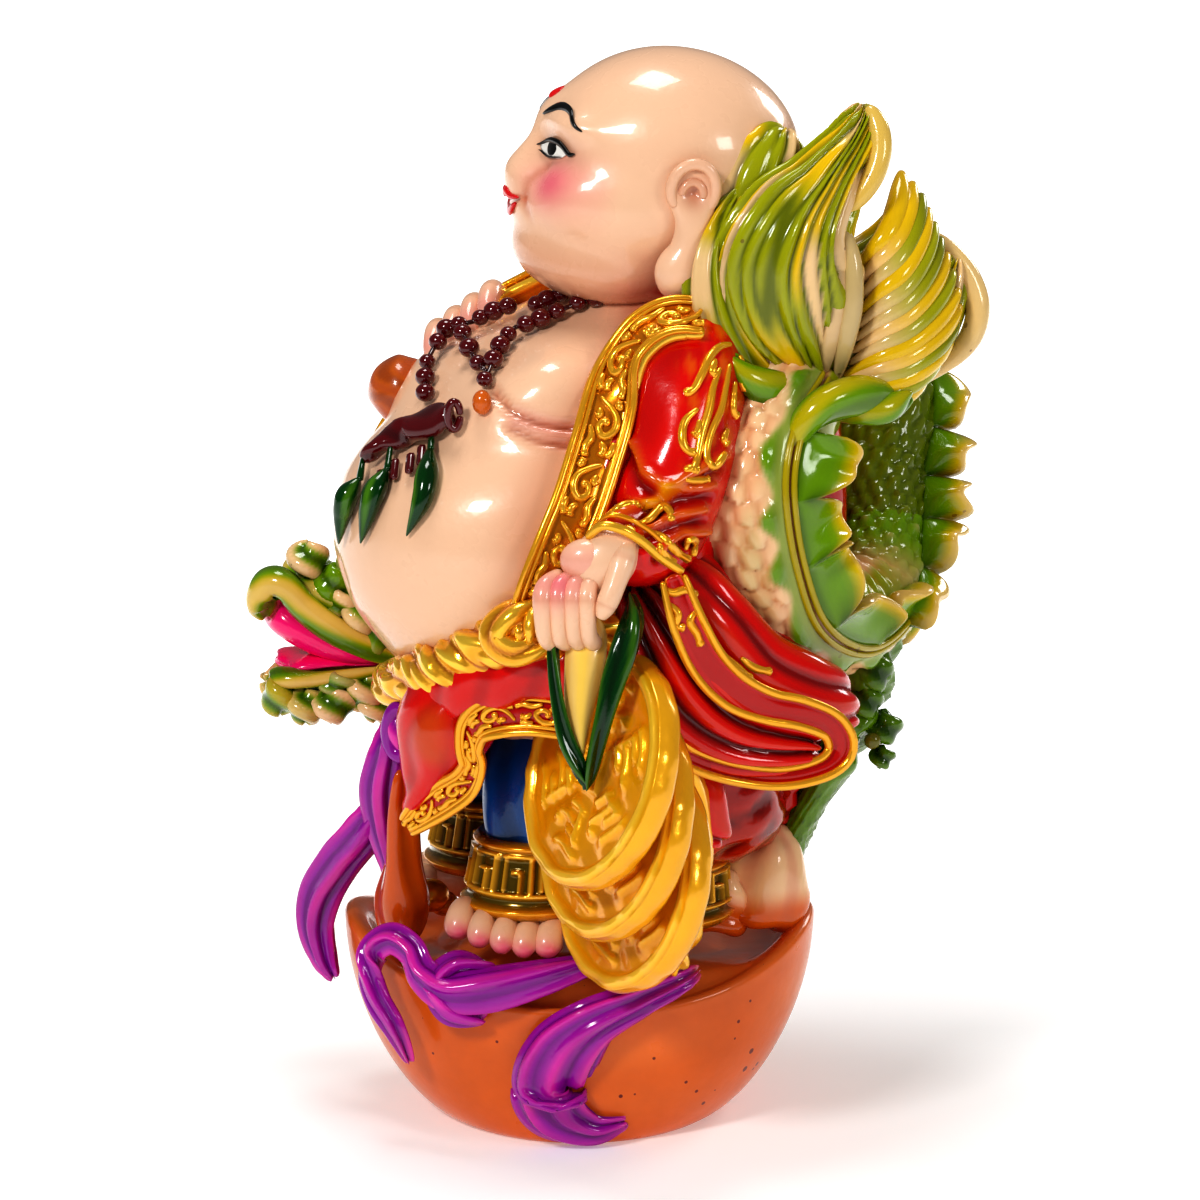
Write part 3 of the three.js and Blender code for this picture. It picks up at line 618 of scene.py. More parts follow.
def pepper_paint():
    return paint_material("Pepper paint", "pepper", "pepper_light", "gold", "ink", gloss=0.1, mottle=0.5)


def gourd_paint():
    return paint_material("Gourd paint", "gourd", "skin_hollow", "yellow", "maroon", gloss=0.22, mottle=0.8)


def ink_paint():
    return paint_material("Brow ink", "ink", gloss=0.2, mottle=0.0)


def eye_paint():
    return paint_material("Eye white", "eye_white", gloss=0.15, mottle=0.0)


# The body

torso_levels = [
    [50, 6, 27, 30], [60, 8, 36, 35], [70, 12, 42, 39], [82, 17, 45.5, 42.5], [96, 19, 47, 44.5],
    [109, 18, 45.5, 43], [121, 13, 41, 40], [130, 8, 37, 38], [137, 4, 33, 36], [143, 0, 25, 30],
    [148, -4, 18, 23], [154, -6, 14, 16],
]


def torso_relief(turn, up):
    """The two breasts, and the slight waist above the belly."""
    breasts = 0.1 * bell(np.abs(turn) - 33, 20) * bell(up - 134, 8)
    return breasts - 0.035 * bell(up - 121, 4) * bell(turn, 60)


torso = Standing(torso_levels, torso_relief)


def torso_skin():
    """The bare torso: the near breast, the double crease under it and the navel."""
    skin, turn, up = torso.form(230, 160)
    x, _, z = moveaxis(skin.points, -1, 0)
    ahead = step(-skin.normals()[..., 1], 0.1, 0.5)
    breast = bell(hypot((x + 7.5) / 1.25, z - 139), 6.0) * ahead
    crease = bell(distance_to(x, z, [[-19.5, 134], [-15.5, 130.4], [-9, 128], [-1.4, 127]]), 0.9) * ahead
    second = bell(distance_to(x, z, [[-15.5, 126.8], [-10, 124.4], [-4, 123.4], [1, 123]]), 0.9) * ahead
    navel = bell(hypot((turn + 16) * 0.8, up - 88), 3.5)
    skin.lift(2.4 * breast - 1.9 * crease - 1.3 * second - 3.5 * navel)
    # Painted shade in the creases under the breast and the navel, and along the torso's sides, its lower edge
    # and round the neck; a pink flush by the crease
    hollow_shade = 0.6 * crease + 0.5 * second
    rim = 0.35 * bell(np.abs(turn) - 62, 9) + 0.5 * (1 - step(up, 60, 74)) + 0.3 * step(up, 143, 152)
    flush = 0.3 * bell(distance_to(x, z, [[-14, 128.4], [0, 125]]), 2.6) * ahead
    return skin.paint(recess=hollow_shade + rim + 0.8 * navel, accent=flush)


head_centre = array([17.0, -2.0, 180.0])
head_turn = math.radians(5)
head_tilt = math.radians(11)
head_blend = 1.9

# [forward, left, up, half depth, half width, half height] of the skull, jaw, cheeks, chin, nose and lips
head_eggs = [
    [-4, 0, 4.5, 29, 25, 23.2], [3, 0, -9, 22.5, 24.5, 18], [14.5, 11.5, -8.5, 9.5, 9.5, 8.5],
    [14.5, -11.5, -8.5, 9.5, 9.5, 8.5], [20, 0, -21, 6.5, 8.5, 5], [19.5, 8, 7, 5, 8, 3],
    [19.5, -8, 7, 5, 8, 3], [23.4, 0, 0.5, 3, 2.6, 6.5], [26.2, 0, -4.5, 3.8, 3, 4.6],
    [28.6, 0, -6.8, 3, 3.4, 2.6], [25.6, 3.8, -7.4, 2.8, 2.2, 2], [25.6, -3.8, -7.4, 2.8, 2.2, 2],
    [24, 0, -12.3, 3.8, 6.4, 1.8], [23.6, 0, -15.4, 3.4, 5.4, 1.9], [7, 0, -24.5, 19.5, 20.5, 9],
]


def head_point(forward, left, up):
    """Terms of the tilted head (forward, left, up) as the drawing's x, y, z."""
    ahead = forward * math.cos(head_tilt) - up * math.sin(head_tilt)
    high = forward * math.sin(head_tilt) + up * math.cos(head_tilt)
    x = -ahead * math.cos(head_turn) + left * math.sin(head_turn)
    y = -ahead * math.sin(head_turn) - left * math.cos(head_turn)
    return head_centre + stack(broadcast_arrays(x, y, high), axis=-1)


def head_depth(forward, left, up):
    """Below 0 inside the head: the eggs' depths blended as -b log(sum of exp(-depth / b))."""
    total = 0
    for f, l, u, a, b, c in head_eggs:
        far = np.sqrt(((forward - f) / a) ** 2 + ((left - l) / b) ** 2 + ((up - u) / c) ** 2)
        total = total + np.exp(-(far - 1) * min(a, b, c) / head_blend)
    return -np.log(total) * head_blend


def on_face(left, up, lift=0.0):
    """The point of the face in front of (left, up)."""
    left, up = broadcast_arrays(asarray(left, float), asarray(up, float))

    def depth_at(forward):
        return head_depth(forward, left, up)
    return head_point(halve(depth_at, 0.0, 45.0, 30) + lift, left, up)


def head_skin():
    """The head along rays from its middle, closer together over the face, with eyelids and flushed cheeks."""
    place, along = grid_of(230, 170)
    turn = place - 0.5 * sin(tau * place) / tau
    lift = pi * along
    ray = stack([sin(lift) * cos(tau * turn), sin(lift) * sin(tau * turn), -cos(lift)], axis=-1)

    def depth_at(reach):
        return head_depth(*moveaxis(ray * reach[..., None], -1, 0))
    reach = halve(depth_at, full(turn.shape, 5.0), full(turn.shape, 48.0), 26)
    forward, left, up = moveaxis(ray * reach[..., None], -1, 0)
    front = step(forward, 8, 14)
    skin = Form(head_point(forward, left, up), turn, along)
    aside = np.abs(left)
    socket = bell(hypot((aside - 10) / 1.6, up - 1.0), 3.6)
    lid = bell(hypot((aside - 10) / 1.5, up - 0.8), 2.6)
    mouth = bell(up + 13.9 - 0.03 * aside ** 2, 0.6) * (1 - step(aside, 6, 8.5))
    corner = bell(hypot(aside - 8.2, up + 11.8), 1.5)
    fold = bell(hypot(aside - 10.5, (up + 9) / 2.2) - 2.4, 0.9) * (1 - step(aside, 10, 12))
    nostril = bell(hypot(aside - 2.3, (forward - 26.8)), 1.0) * (up < -7.4) * (up > -11)
    skin.lift(front * (-1.5 * socket + 1.4 * lid - 0.8 * mouth - 0.7 * corner - 0.4 * fold - 0.6 * nostril))
    # A pink flush on the cheeks; painted shade in the mouth line and its corners, the eye sockets, the folds
    # beside the mouth, the nostrils and under the jaw
    cheek = bell(hypot(aside - 15, (up + 6.5) * 1.1), 6.5)
    hollow_shade = front * (0.5 * mouth + 0.4 * corner + 0.3 * socket + 0.35 * fold + nostril)
    return skin.paint(accent=front * 0.85 * cheek, recess=hollow_shade + step(-up, 15, 25) * 0.3)


def stroke_on_face(points, half_width, lift=0.25, thick=0.5):
    """A painted stroke through points (left, up) of the face, pointed at its ends."""
    flat = line_of(points, 20)
    path = on_face(flat[:, 0], flat[:, 1], lift)
    ahead = unit_of(head_point(1, 0, 0) - head_point(0, 0, 0))
    width = half_width * (0.2 + 0.8 * sin(pi * linspace(0.05, 0.92, 20)) ** 0.8)
    stations = column_stack([path, full(20, thick), width])
    return tube(stations, side=ahead, around=12, rows=60, blunt=3)


def disc_on_face(left, up, across, high, base, height):
    """A painted oval on the face, base + (1 - s^2) height proud, with half sizes across and high."""
    turn, along = grid_of(48, 16)
    s = where(along < 0.7, along / 0.7, (1 - along) / 0.3)
    lift = where(along < 0.7, base + height * (1 - s ** 2), -0.5)
    points = on_face(left + across * s * cos(tau * turn), up + high * s * sin(tau * turn), lift)
    return Form(points, turn, along)


def face_lines():
    """The brows, the lash lines and the dark of the eyes, the same on both sides."""
    strokes = (
        ([[4.2, 7.4], [9, 10.2], [14, 9.8], [18.4, 6.6]], 1.25),
        ([[4.6, 0.3], [8, 2.3], [12, 2.5], [15.2, 0.8], [16.6, 1.2]], 0.75),
        ([[5.6, -0.5], [9.5, -1.3], [13.8, -0.4]], 0.3),
    )
    forms = []
    for side in (1, -1):
        forms += [stroke_on_face(np.multiply(points, [side, 1]), width) for points, width in strokes]
        forms.append(disc_on_face(side * 9.8, 0.7, 1.75, 1.6, 0.45, 0.2))
    return forms


def eye_whites():
    return [disc_on_face(side * 10, 0.5, 4.6, 1.8, 0.15, 0.35) for side in (1, -1)]


def lips():
    """The two lips of a quiet smile and a round dot on the forehead."""
    upper = stroke_on_face([[-7.4, -11.9], [-4, -12.3], [-1.6, -11.6], [0, -12.1], [1.6, -11.6], [4, -12.3],
                            [7.4, -11.9]], 1.2, 0.1, 0.7)
    lower = stroke_on_face([[-6.4, -13.4], [-3, -15.3], [0, -15.8], [3, -15.3], [6.4, -13.4]], 1.5, 0.1, 0.7)
    dot = disc_on_face(0, 12.5, 1.7, 1.7, 0.12, 0.9)
    return [form.paint(edge=1.0) for form in (upper, lower, dot)]


def ear(side):
    """An ear: the shell with its hollow, the rim curled round it and a long lobe."""
    shell = tube([
        [*head_point(-6.2, side * 23.5, 5), 3.6, 2.5], [*head_point(-6.2, side * 25, 2.2), 5.4, 3],
        [*head_point(-6.6, side * 25.8, -2), 5.8, 3.3], [*head_point(-8, side * 25.6, -8), 4.2, 3.3],
        [*head_point(-8.2, side * 25.4, -14), 4.4, 3.8], [*head_point(-7, side * 25.4, -20), 6.2, 4.8],
        [*head_point(-7.4, side * 25, -26), 5.6, 4.6],
    ], side=(1, 0, 0), around=72, rows=110)
    outward = unit_of(head_point(0, side, 0) - head_point(0, 0, 0))
    middle = head_point(-6.6, side * 29, -1)
    hollow = bell(np.linalg.norm(shell.points - middle, axis=-1), 3.8)
    facing = clip((shell.normals() * outward).sum(axis=-1), 0, 1)
    shell.lift(-3.0 * hollow * facing)
    # Painted shade in the shell's hollow, and a little on the two rims
    shell.paint(recess=0.6 * hollow * facing)
    angle = linspace(-0.9, 4.4, 18)
    rim = head_point(-6.4 + 5.0 * cos(angle), side * (27.2 + 0.5 * sin(angle)), -0.6 + 5.8 * sin(angle))
    inner_angle = linspace(-0.2, 3.3, 12)
    inner = head_point(-6.4 + 2.4 * cos(inner_angle), side * 27.2, -1.8 + 2.8 * sin(inner_angle))
    rim_form = wire(rim, 1.35, outward, sides=14, rows=60)
    inner_form = wire(inner, 1.0, outward, sides=12, rows=50)
    return [shell, rim_form.paint(recess=0.15), inner_form.paint(recess=0.35)]


def knuckles(turn, along):
    """How far a finger swells at its joints."""
    return 0.06 * cos(tau * 2.5 * along)


def finger(stations):
    """One bent finger, a little fuller at its joints."""
    form = tube(stations, side=(1, 0, 0), around=28, rows=50, swell=knuckles)
    # Painted shade in the creases at the joints
    return form.paint(recess=0.25 * bell(sin(tau * 1.25 * form.along), 0.15))


def left_hand():
    """The fist that holds the coins: a palm, four bent fingers, and the thumb over the first."""
    forms = [tube([[12, -57, 105, 6], [6, -60, 101, 7, 6.5], [1, -61, 94, 7, 6]], around=48, rows=40)]
    for i in range(4):
        x = -8 + 3.2 * i
        form = finger([
            [x + 4, -61, 98, 2.2, 2.2], [x + 0.4, -65.5, 95.5, 2.3, 2.5], [x, -67, 90, 2.2, 2.5],
            [x + 0.6, -66, 84.5, 2.1, 2.4], [x + 3, -62, 81.5, 1.9, 2.1],
        ])
        forms.append(form.paint(accent=0.75 * bell(form.along - 0.3, 0.14) * bell(i - 1, 1.4)))
    knuckle = egg([2, -62.4, 101], [6.4, 4, 5])
    forms.append(knuckle.paint(accent=0.3 * bell(knuckle.along - 0.5, 0.3)))
    forms.append(finger([[11, -59, 106, 3], [9.6, -64, 102, 2.9], [7.5, -67, 96, 2.7, 2.8],
                         [4.5, -68.5, 89, 2.5, 2.6]]))
    return forms


def right_hand():
    """The raised hand, whose fingers close towards the chest."""
    forms = [tube([[-15, 24, 130, 7, 6], [-20, 18, 138, 7, 6], [-24, 13, 144, 6, 5]], side=(1, 0, 0),
                  around=48, rows=40)]
    for i in range(4):
        x, z = -33 + 4.2 * i, 138 + 3 * i
        form = finger([[x + 2, 17, z + 1, 2.4, 2.4], [x, 9, z + 2, 2.5, 2.5], [x - 1, 3, z - 1, 2.4, 2.4],
                       [x, 0, z - 6, 2, 2]])
        forms.append(form.paint(accent=0.4 * bell(form.along - 0.65, 0.15)))
    forms.append(finger([[-14, 16, 136, 3], [-18, 10, 138, 2.8], [-23, 6, 137, 2.4]]))
    return forms


def foot(heel, toes, across):
    """A foot: the sole's block and five toes that fan out along `across`, flushed at their tips."""
    heel, toes, across = (array(point, float) for point in (heel, toes, across))
    forms = [tube([[*heel, 8, 8], [*mix(heel, toes, 0.5)[:2], 7, 7, 10], [*toes, 4.5, 11.5]], around=48,
                  rows=40)]
    away = unit_of(toes - heel)
    for i in range(5):
        share = i / 4 - 0.5
        root = toes + across * share
        size = 1.15 if i in (0, 4) else 1.0
        reach = 5 - 8 * share * share
        toe = tube([
            [*(root - away * reach)[:2], 6.5, 3 * size, 2.8 * size],
            [*(root + away * reach)[:2], 5.5, 3.4 * size, 2.9],
            [*(root + 2.1 * away * reach)[:2], 3, 3 * size, 2.8 * size],
        ], around=32, rows=36)
        # Pink towards the tips, and painted shade in a crease across each toe
        forms.append(toe.paint(accent=step(toe.along, 0.55, 0.95),
                               recess=0.35 * bell(toe.along - 0.45, 0.06)))
    return forms


def feet():
    """The left foot, whose toes show in front, and the right one behind."""
    forms = [tube([[-8, -12, 8, 8, 9], [-12, -24, 9, 7.5, 11], [-16, -33, 8, 5, 11.5]], around=64, rows=50)]
    toes = [[-27.6, -31, 9], [-22.6, -35, 8.2], [-17.4, -37, 7.4], [-12.4, -37.5, 6.6], [-7, -37, 6.4]]
    for i, (x, y, z) in enumerate(toes):
        size = 3.3 if i in (0, 4) else 2.9
        toe = tube([[x + 2.2, y + 6, z + 2.5, size, size], [x + 0.5, y + 1.6, z + 1.2, size, size],
                    [x - 0.3, y - 1.2, z - 1.6, size + 0.2, size],
                    [x - 0.6, y - 2.2, z - 4.2, size - 0.6, size - 0.4]],
                   side=(1, 0.3, 0), around=36, rows=44, blunt=2.6)
        nail = bell(toe.along - 0.72, 0.1) * bell((toe.turn + 0.25) % 1 - 0.5, 0.12)
        # Pink towards the tips and on the nails, and painted shade in a crease near each toe's root
        forms.append(toe.paint(accent=step(toe.along, 0.45, 0.95) + 0.4 * nail,
                               recess=0.3 * bell(toe.along - 0.25, 0.1)))
    return forms + foot([-18, 13, 5], [-33, 21, 5], [6, 18, 0])


class FIGURINE_OT_monk(bpy.types.Operator):
    """Make the monk's bare skin: head, torso, hands and feet"""
    bl_idname = "figurine.monk"
    bl_label = "Monk"

    def execute(self, context):
        mesh_piece("torso", [torso_skin()], skin_paint())
        mesh_piece("head", [head_skin(), *ear(1), *ear(-1)], skin_paint())
        mesh_piece("lips", lips(), skin_paint())
        mesh_piece("eye_whites", eye_whites(), eye_paint())
        mesh_piece("brows_and_lashes", face_lines(), ink_paint())
        mesh_piece("hands", left_hand() + right_hand(), skin_paint())
        mesh_piece("feet", feet(), skin_paint())
        return {"FINISHED"}


# The robe

lapel_ups = [62, 81, 97, 113, 127, 140, 152]
lapel_turns = [50, 58, 66, 70, 71, 70, 80]


def lapel_turn(up):
    """Where the robe opens, in degrees from the front."""
    return interp(up, lapel_ups, lapel_turns)


robe_levels = [
    [19, -10, 24, 30], [27, -9, 35, 39], [42, -5, 38, 40], [60, 0, 41, 41], [78, 7, 47, 46],
    [95, 10, 50, 48.5], [109, 9, 49, 47.5], [122, 6, 46, 46], [134, 1, 40, 43], [143, -5, 32, 37],
    [150, -9, 22, 27], [155, -11, 14, 18],
]


def robe_relief(turn, up):
    """Sunk where the robe is open, and folded elsewhere."""
    edge = lapel_turn(up)
    opening = 1 - step(np.abs(turn), edge - 9, edge - 1)
    folds = 0.03 * cos(radians(9 * turn + 2 * up))
    return -0.3 * opening + (1 - opening) * folds


robe = Standing(robe_levels, robe_relief)


def robe_skin():
    skin, turn, up = robe.form(170, 90)
    depth = drawn("fold_depth")
    folds = cos(radians(14 * turn + 1.2 * up)) * (1 - step(up, 118, 140))
    low = 1 - step(up, 48, 62)
    lumps = sin(0.42 * up + 0.11 * turn) * sin(0.19 * turn - 0.3 * up) + 0.5 * sin(0.9 * up - 0.3 * turn)
    skin.lift(0.5 * depth * folds * (1 - low) + 0.7 * lumps * low)
    # Painted shade in the fold troughs and over the lumpy foot, deepest between its lumps; the lowest part
    # turns orange
    shade = low * (0.35 + 0.5 * step(-lumps, -0.2, 0.8))
    return skin.paint(recess=0.5 * step(-folds, 0.2, 1) * (1 - low) + shade,
                      accent=low * 0.45 * (1 - step(up, 20, 46)))


def robe_back():
    """The back of the robe that the coil wraps, with long folds and a lumpy foot above the ingot."""
    form = tube([
        [31, 8, 14, 12, 13], [32, 8, 22, 17, 16], [34, 7, 34, 22, 20], [35, 7, 52, 24, 23],
        [37, 8, 80, 24, 27], [38, 9, 106, 24, 27], [34, 7, 128, 24, 25], [26, 3, 148, 18, 20],
    ], side=(1, 0, 0), around=140, rows=90, blunt=6)
    x, _, up = moveaxis(form.points, -1, 0)
    folds = cos(tau * 9 * form.turn + 5 * form.along + 0.8 * sin(9 * form.along))
    lumpy = sin(0.8 * x + 0.4 * up) * sin(0.75 * up - 0.3 * x) * (1 - step(up, 36, 50))
    form.lift(0.8 * drawn("fold_depth") * folds * step(up, 30, 56) + 1.5 * lumpy)
    # A darker red all over, with painted shade in the troughs of the folds and lumps; orange towards the
    # bottom
    return form.paint(recess=0.3 + 0.4 * step(-folds, 0, 1) * step(up, 30, 50) + 0.3 * step(-lumpy, 0, 0.7),
                      accent=0.8 * (1 - step(up, 16, 30)))


# The skirt's front from the sash to the hem's corner, which stands out from the rest
skirt_front = [[-28, -36, 72, 11, 8], [-29, -36.5, 63, 12, 9], [-30.6, -36, 55, 11, 9],
               [-32.4, -33.5, 47, 8.6, 8.5], [-35, -31, 39, 5.5, 7], [-37.5, -29, 33.5, 3, 4.5]]


def hem_height(turn):
    """The level of the skirt's edge: low at the corner in front and higher towards the coins."""
    turn = asarray(turn, float)
    return 34 + 30 * step(turn, -6, 34) + 14 * step(-turn, 70, 130)


def skirt_at(turn, down, lift=0.0):
    """The front of the robe below the sash: from the sash (down 0) to the hem (down 1)."""
    turn, down = broadcast_arrays(asarray(turn, float), asarray(down, float))
    angle = radians(turn)
    swing = 1 + 0.05 * cos(10 * angle) * down
    forward = 5 + mix(37, 46, down) * swing * cos(angle) + lift * cos(angle)
    left = mix(37, 38, down) * swing * sin(angle) + lift * sin(angle)
    return body(forward, left, mix(74, hem_height(turn), down))


def skirt():
    """The robe below the sash: its folded wall, the front with the lump over the knee, the strip that hangs
    to the ingot and the fold under the sash."""
    turn, along = grid_of(150, 46)
    degrees = 360 * turn - 180
    down = clip(1.15 * along - 0.05, 0, 1)
    wall = Form(skirt_at(degrees, down), turn, along)
    inner = step(along, 0.92, 1.0)[..., None]
    wall.points = wall.points * (1 - inner) + inner * body(5, 0, 50)
    wall.points[0] = body(5, 0, 74)
    folds = cos(radians(13 * degrees + 2 * wall.points[..., 2])) * down
    wall.lift(0.7 * folds)
    # Painted shade in the fold troughs, and full painted shade where the wall turns in under the hem
    wall.paint(recess=0.4 * step(-folds, 0.1, 0.9) + step(along, 0.86, 0.92))
    front = tube(skirt_front, side=(1, -0.45, 0), around=90, rows=70, blunt=8)
    x, _, z = moveaxis(front.points, -1, 0)
    knee = bell(hypot(x + 32, (z - 56.5) / 1.3), 6.0)
    crease = sin(0.8 * x - 0.3 * z + 1.5 * sin(0.25 * z))
    front.lift(2.6 * knee + 0.5 * crease * (1 - knee))
    # Painted shade in the creases round the knee, and orange over the knee as painted highlight
    front.paint(recess=0.3 * step(-crease, 0.2, 1) * (1 - knee),
                accent=0.9 * step(knee, 0.2, 0.8) * step(-x, 26, 33))
    strip = tube([[-40, -27, 44, 2.8, 4], [-41, -24, 32, 3.2, 4.6], [-41.4, -21, 20, 4, 5],
                  [-41.6, -20, 10, 6.5, 5.4], [-41.6, -19, 0, 6, 5]],
                 side=(1, -0.4, 0), around=54, rows=60, blunt=4)
    fold = tube([[-33, -39, 63.6, 5, 4], [-28.6, -44, 66.6, 6.4, 4.4], [-22, -48.4, 69.6, 6.8, 4.6],
                 [-15.5, -51.4, 72, 7, 4.6], [-8, -53.4, 74, 7, 4.6], [0, -53.8, 75, 7, 4.6],
                 [9, -51, 76, 7, 5]], around=60, rows=90, blunt=6)
    # The strip is orange with a touch of gold and painted shade in its troughs; the fold under the sash has
    # painted shade in its troughs
    return [wall, front, waved(strip, 3, 3, 0.8, accent=1.0, recess=(0.2, 0.2, 1), edge=0.12),
            waved(fold, 2, 30, 0.5, recess=(0.25, 0.2, 1))]


# The left arm, from the shoulder to the wrist
left_arm = [
    [21, -18, 147, 14], [22.5, -30, 136, 15.5, 14.5], [22, -38, 122, 13.5, 14], [18.5, -45, 109, 12, 13],
    [14, -52, 103, 11, 10.5], [7, -58, 104, 9],
]

# Ridges of cloth at the elbow and round the forearm, each a flat path (x, z)
elbow_ridges = [
    [[16, 112.4], [19, 115.8], [23.5, 118], [28, 119.8], [32.4, 121.5]],
    [[8.5, 110], [12.4, 112.2], [18, 112.8], [22.4, 115.6], [29, 115.6]],
    [[14, 107.5], [20, 110], [27, 110.5]], [[18, 103], [23, 106.5], [28, 105]],
    [[12, 124], [14, 119], [19, 116]],
]


def arm_sleeve():
    """The left arm's sleeve, with ridges of cloth where it bends and gilt rubbed over its crests."""
    form = tube(left_arm, side=(1, 0, 0.3), around=130, rows=104, blunt=5)
    x, _, z = moveaxis(form.points, -1, 0)
    ahead = step(-form.normals()[..., 1], 0.0, 0.4)
    ridge = sum(bell(distance_to(x, z, path), 1.3) for path in elbow_ridges)
    valley = sum(bell(distance_to(x + 0.8, z + 2.4, path), 1.5) for path in elbow_ridges)
    soft = cos(0.32 * x - 0.11 * z) * step(z, 118, 128)
    form.lift(ahead * (1.7 * ridge - 1.5 * valley + 0.5 * soft))
    gilded = step(x, 20, 27) * step(sin(0.9 * x + 0.5 * z) * sin(0.35 * z - 0.8 * x), -0.1, 0.7)
    # Painted shade in the valleys below the ridges and in the soft folds' troughs, orange on the ridges as
    # painted highlight, and gilt on the crests and in a band of broken strokes
    return form.paint(recess=ahead * (0.7 * valley * (1 - ridge) + 0.2 * step(-soft, 0, 1)),
                      accent=0.45 * ridge * ahead,
                      edge=ahead * (0.35 * gilded * step(z, 116, 124) + 0.3 * ridge ** 2))


def hanging_sleeve():
    """The outer side of the left sleeve where it hangs, and the red lobe under it."""
    forms = []
    for stations, folds in (
            ([[23, -44, 97, 8], [29, -45, 84, 9.5, 9], [37, -42, 73, 10, 9], [47, -37, 66, 10, 9],
              [56, -31, 60, 8.5, 8], [62, -27, 56, 4, 6]], 6),
            ([[24, -42, 50, 6, 5], [27, -43, 41, 6.6, 5], [29, -43, 34, 5.4, 4.4], [29.5, -43, 30, 3.4]], 3)):
        form = tube(stations, side=(0.6, 0, 1), around=96, rows=76, blunt=4)
        wave = np.abs(cos(pi * (folds * form.turn + 1.5 * form.along + 0.3 * sin(8 * form.along))))
        form.lift(1.5 * wave - 0.8)
        # Painted shade in the troughs, and orange on the crests as painted highlight
        forms.append(form.paint(recess=0.75 * (1 - step(wave, 0.1, 0.7)), accent=0.3 * step(wave, 0.85, 1)))
    return forms


def right_sleeve():
    """The right arm's sleeve behind the belly."""
    forms = []
    for route in (
            [(-6, -24, 145, 13, 14), (-4, -37, 133, 15, 15), (4, -46, 118, 15, 14), (15, -47, 116, 13, 13),
             (19, -38, 124, 11, 11), (19, -32, 132, 8, 8)],
            [(18, -44, 120, 10, 8), (18, -50, 102, 14, 9), (12, -52, 84, 15, 9), (2, -50, 68, 12, 8),
             (-8, -46, 58, 7, 6)]):
        form = tube([[*body(f, l, u), a, b] for f, l, u, a, b in route], side=(1, 0, 0.3), around=76, rows=50,
                    blunt=4)
        # Painted shade in the troughs of the folds
        forms.append(waved(form, 7, 6, 0.9, recess=(0.5, 0.0, 1)))
    return forms


def sleeves():
    """Both sleeves with the left one's open mouth and its rim."""
    return [arm_sleeve(), *hanging_sleeve(), *right_sleeve(), sleeve_mouth(), band(*rim_course(), 1.6)]


def beside(path):
    """Directions across a path that faces the front."""
    return unit_of(cross(unit_of(np.gradient(path, axis=0)), array([0.0, -1.0, 0.1])))


def rim_course():
    """The sleeve rim's middle line, its outward directions and its half widths."""
    rows = line_of(sleeve_rim, 60)
    path = rows[:, :3]
    return path, unit_of(cross(beside(path), np.gradient(path, axis=0))), rows[:, 3]


def band(path, normal, half, thick, around=70, rows=150):
    """A flat band of cloth on a surface, its edges rolled."""
    tangent = unit_of(np.gradient(path, axis=0))
    form = tube(column_stack([path, half, full(len(path), thick)]), side=cross(tangent, normal),
                around=around, rows=rows, blunt=8)
    edge = np.abs(cos(tau * form.turn))
    form.lift(-0.35 * thick * (1 - step(edge, 0.55, 0.85)))
    return form.paint(recess=0.35 * (1 - step(edge, 0.4, 0.8)), edge=0.85 * step(edge, 0.75, 0.9))


def band_place(path, normal, half, thick):
    """Places flat points (along, and across from -1 to 1) on a band, and gives the band's length."""
    far = length_along(path)
    tangent = unit_of(np.gradient(path, axis=0))
    wide = unit_of(cross(tangent, normal))
    deep = unit_of(normal - (normal * tangent).sum(axis=1, keepdims=True) * tangent)

    def read(table, along):
        return stack([interp(along, far, column) for column in table.T], axis=-1)

    def place(along, across, lift=0.0):
        height = thick * (0.65 + 0.25 * np.abs(across)) + lift
        reach = interp(along, far, half) * across
        return read(path, along) + read(wide, along) * reach[:, None] + read(deep, along) * height[:, None]
    return place, far[-1]


def gilt(place, strokes, radius):
    """Raised strokes laid by `place` along flat paths, fuller in the middle and with a thick curled end."""
    forms = []
    for stroke in strokes:
        s = linspace(0, 1, 5 * len(stroke))
        size = radius * (0.65 + 0.45 * sin(pi * s) + 0.5 * bell(s - 0.94, 0.09))
        path, normal = laid(place, *smooth(stroke, s).T, 0.1)
        forms.append(wire(path, size, normal, rows=36, flat=0.9).paint(edge=0.35))
    return forms


def band_rims(place, run, lines, radius):
    """Raised lines along a band, each at a share of its half width."""
    forms = []
    for across in lines:
        path, normal = laid(place, linspace(0.5, run - 0.5, 60), full(60, across), 0.0)
        size = radius * (1.0 if abs(across) > 0.75 else 0.65)
        forms.append(wire(path, size, normal, rows=150).paint(edge=0.3))
    return forms


def scroll_strokes(run, unit_length, reach):
    """A chain of scrolls along a band: an S with a curled end and five buds, turned over by turns."""
    shapes = [
        [[0.02, -0.8], [0.14, 0.1], [0.30, 0.8], [0.50, 0.8], [0.62, 0.15], [0.50, -0.35], [0.37, -0.05],
         [0.44, 0.3]],
        [[0.50, -0.95], [0.68, -0.65], [0.84, -0.85], [1.00, -0.7]],
        [[0.70, 0.1], [0.80, 0.45], [0.92, 0.35]], [[0.66, 1.0], [0.80, 1.05], [0.92, 0.8]],
        [[0.16, 1.0], [0.10, 0.75], [0.02, 0.7]], [[0.2, -0.6], [0.3, -0.5], [0.36, -0.75]],
    ]
    count = max(int(round(run / unit_length)), 1)
    strokes = []
    for k in range(count):
        for shape in shapes:
            flip = 1 if k % 2 else -1
            strokes.append([[(k + along) * run / count, flip * reach * across] for along, across in shape])
    return strokes


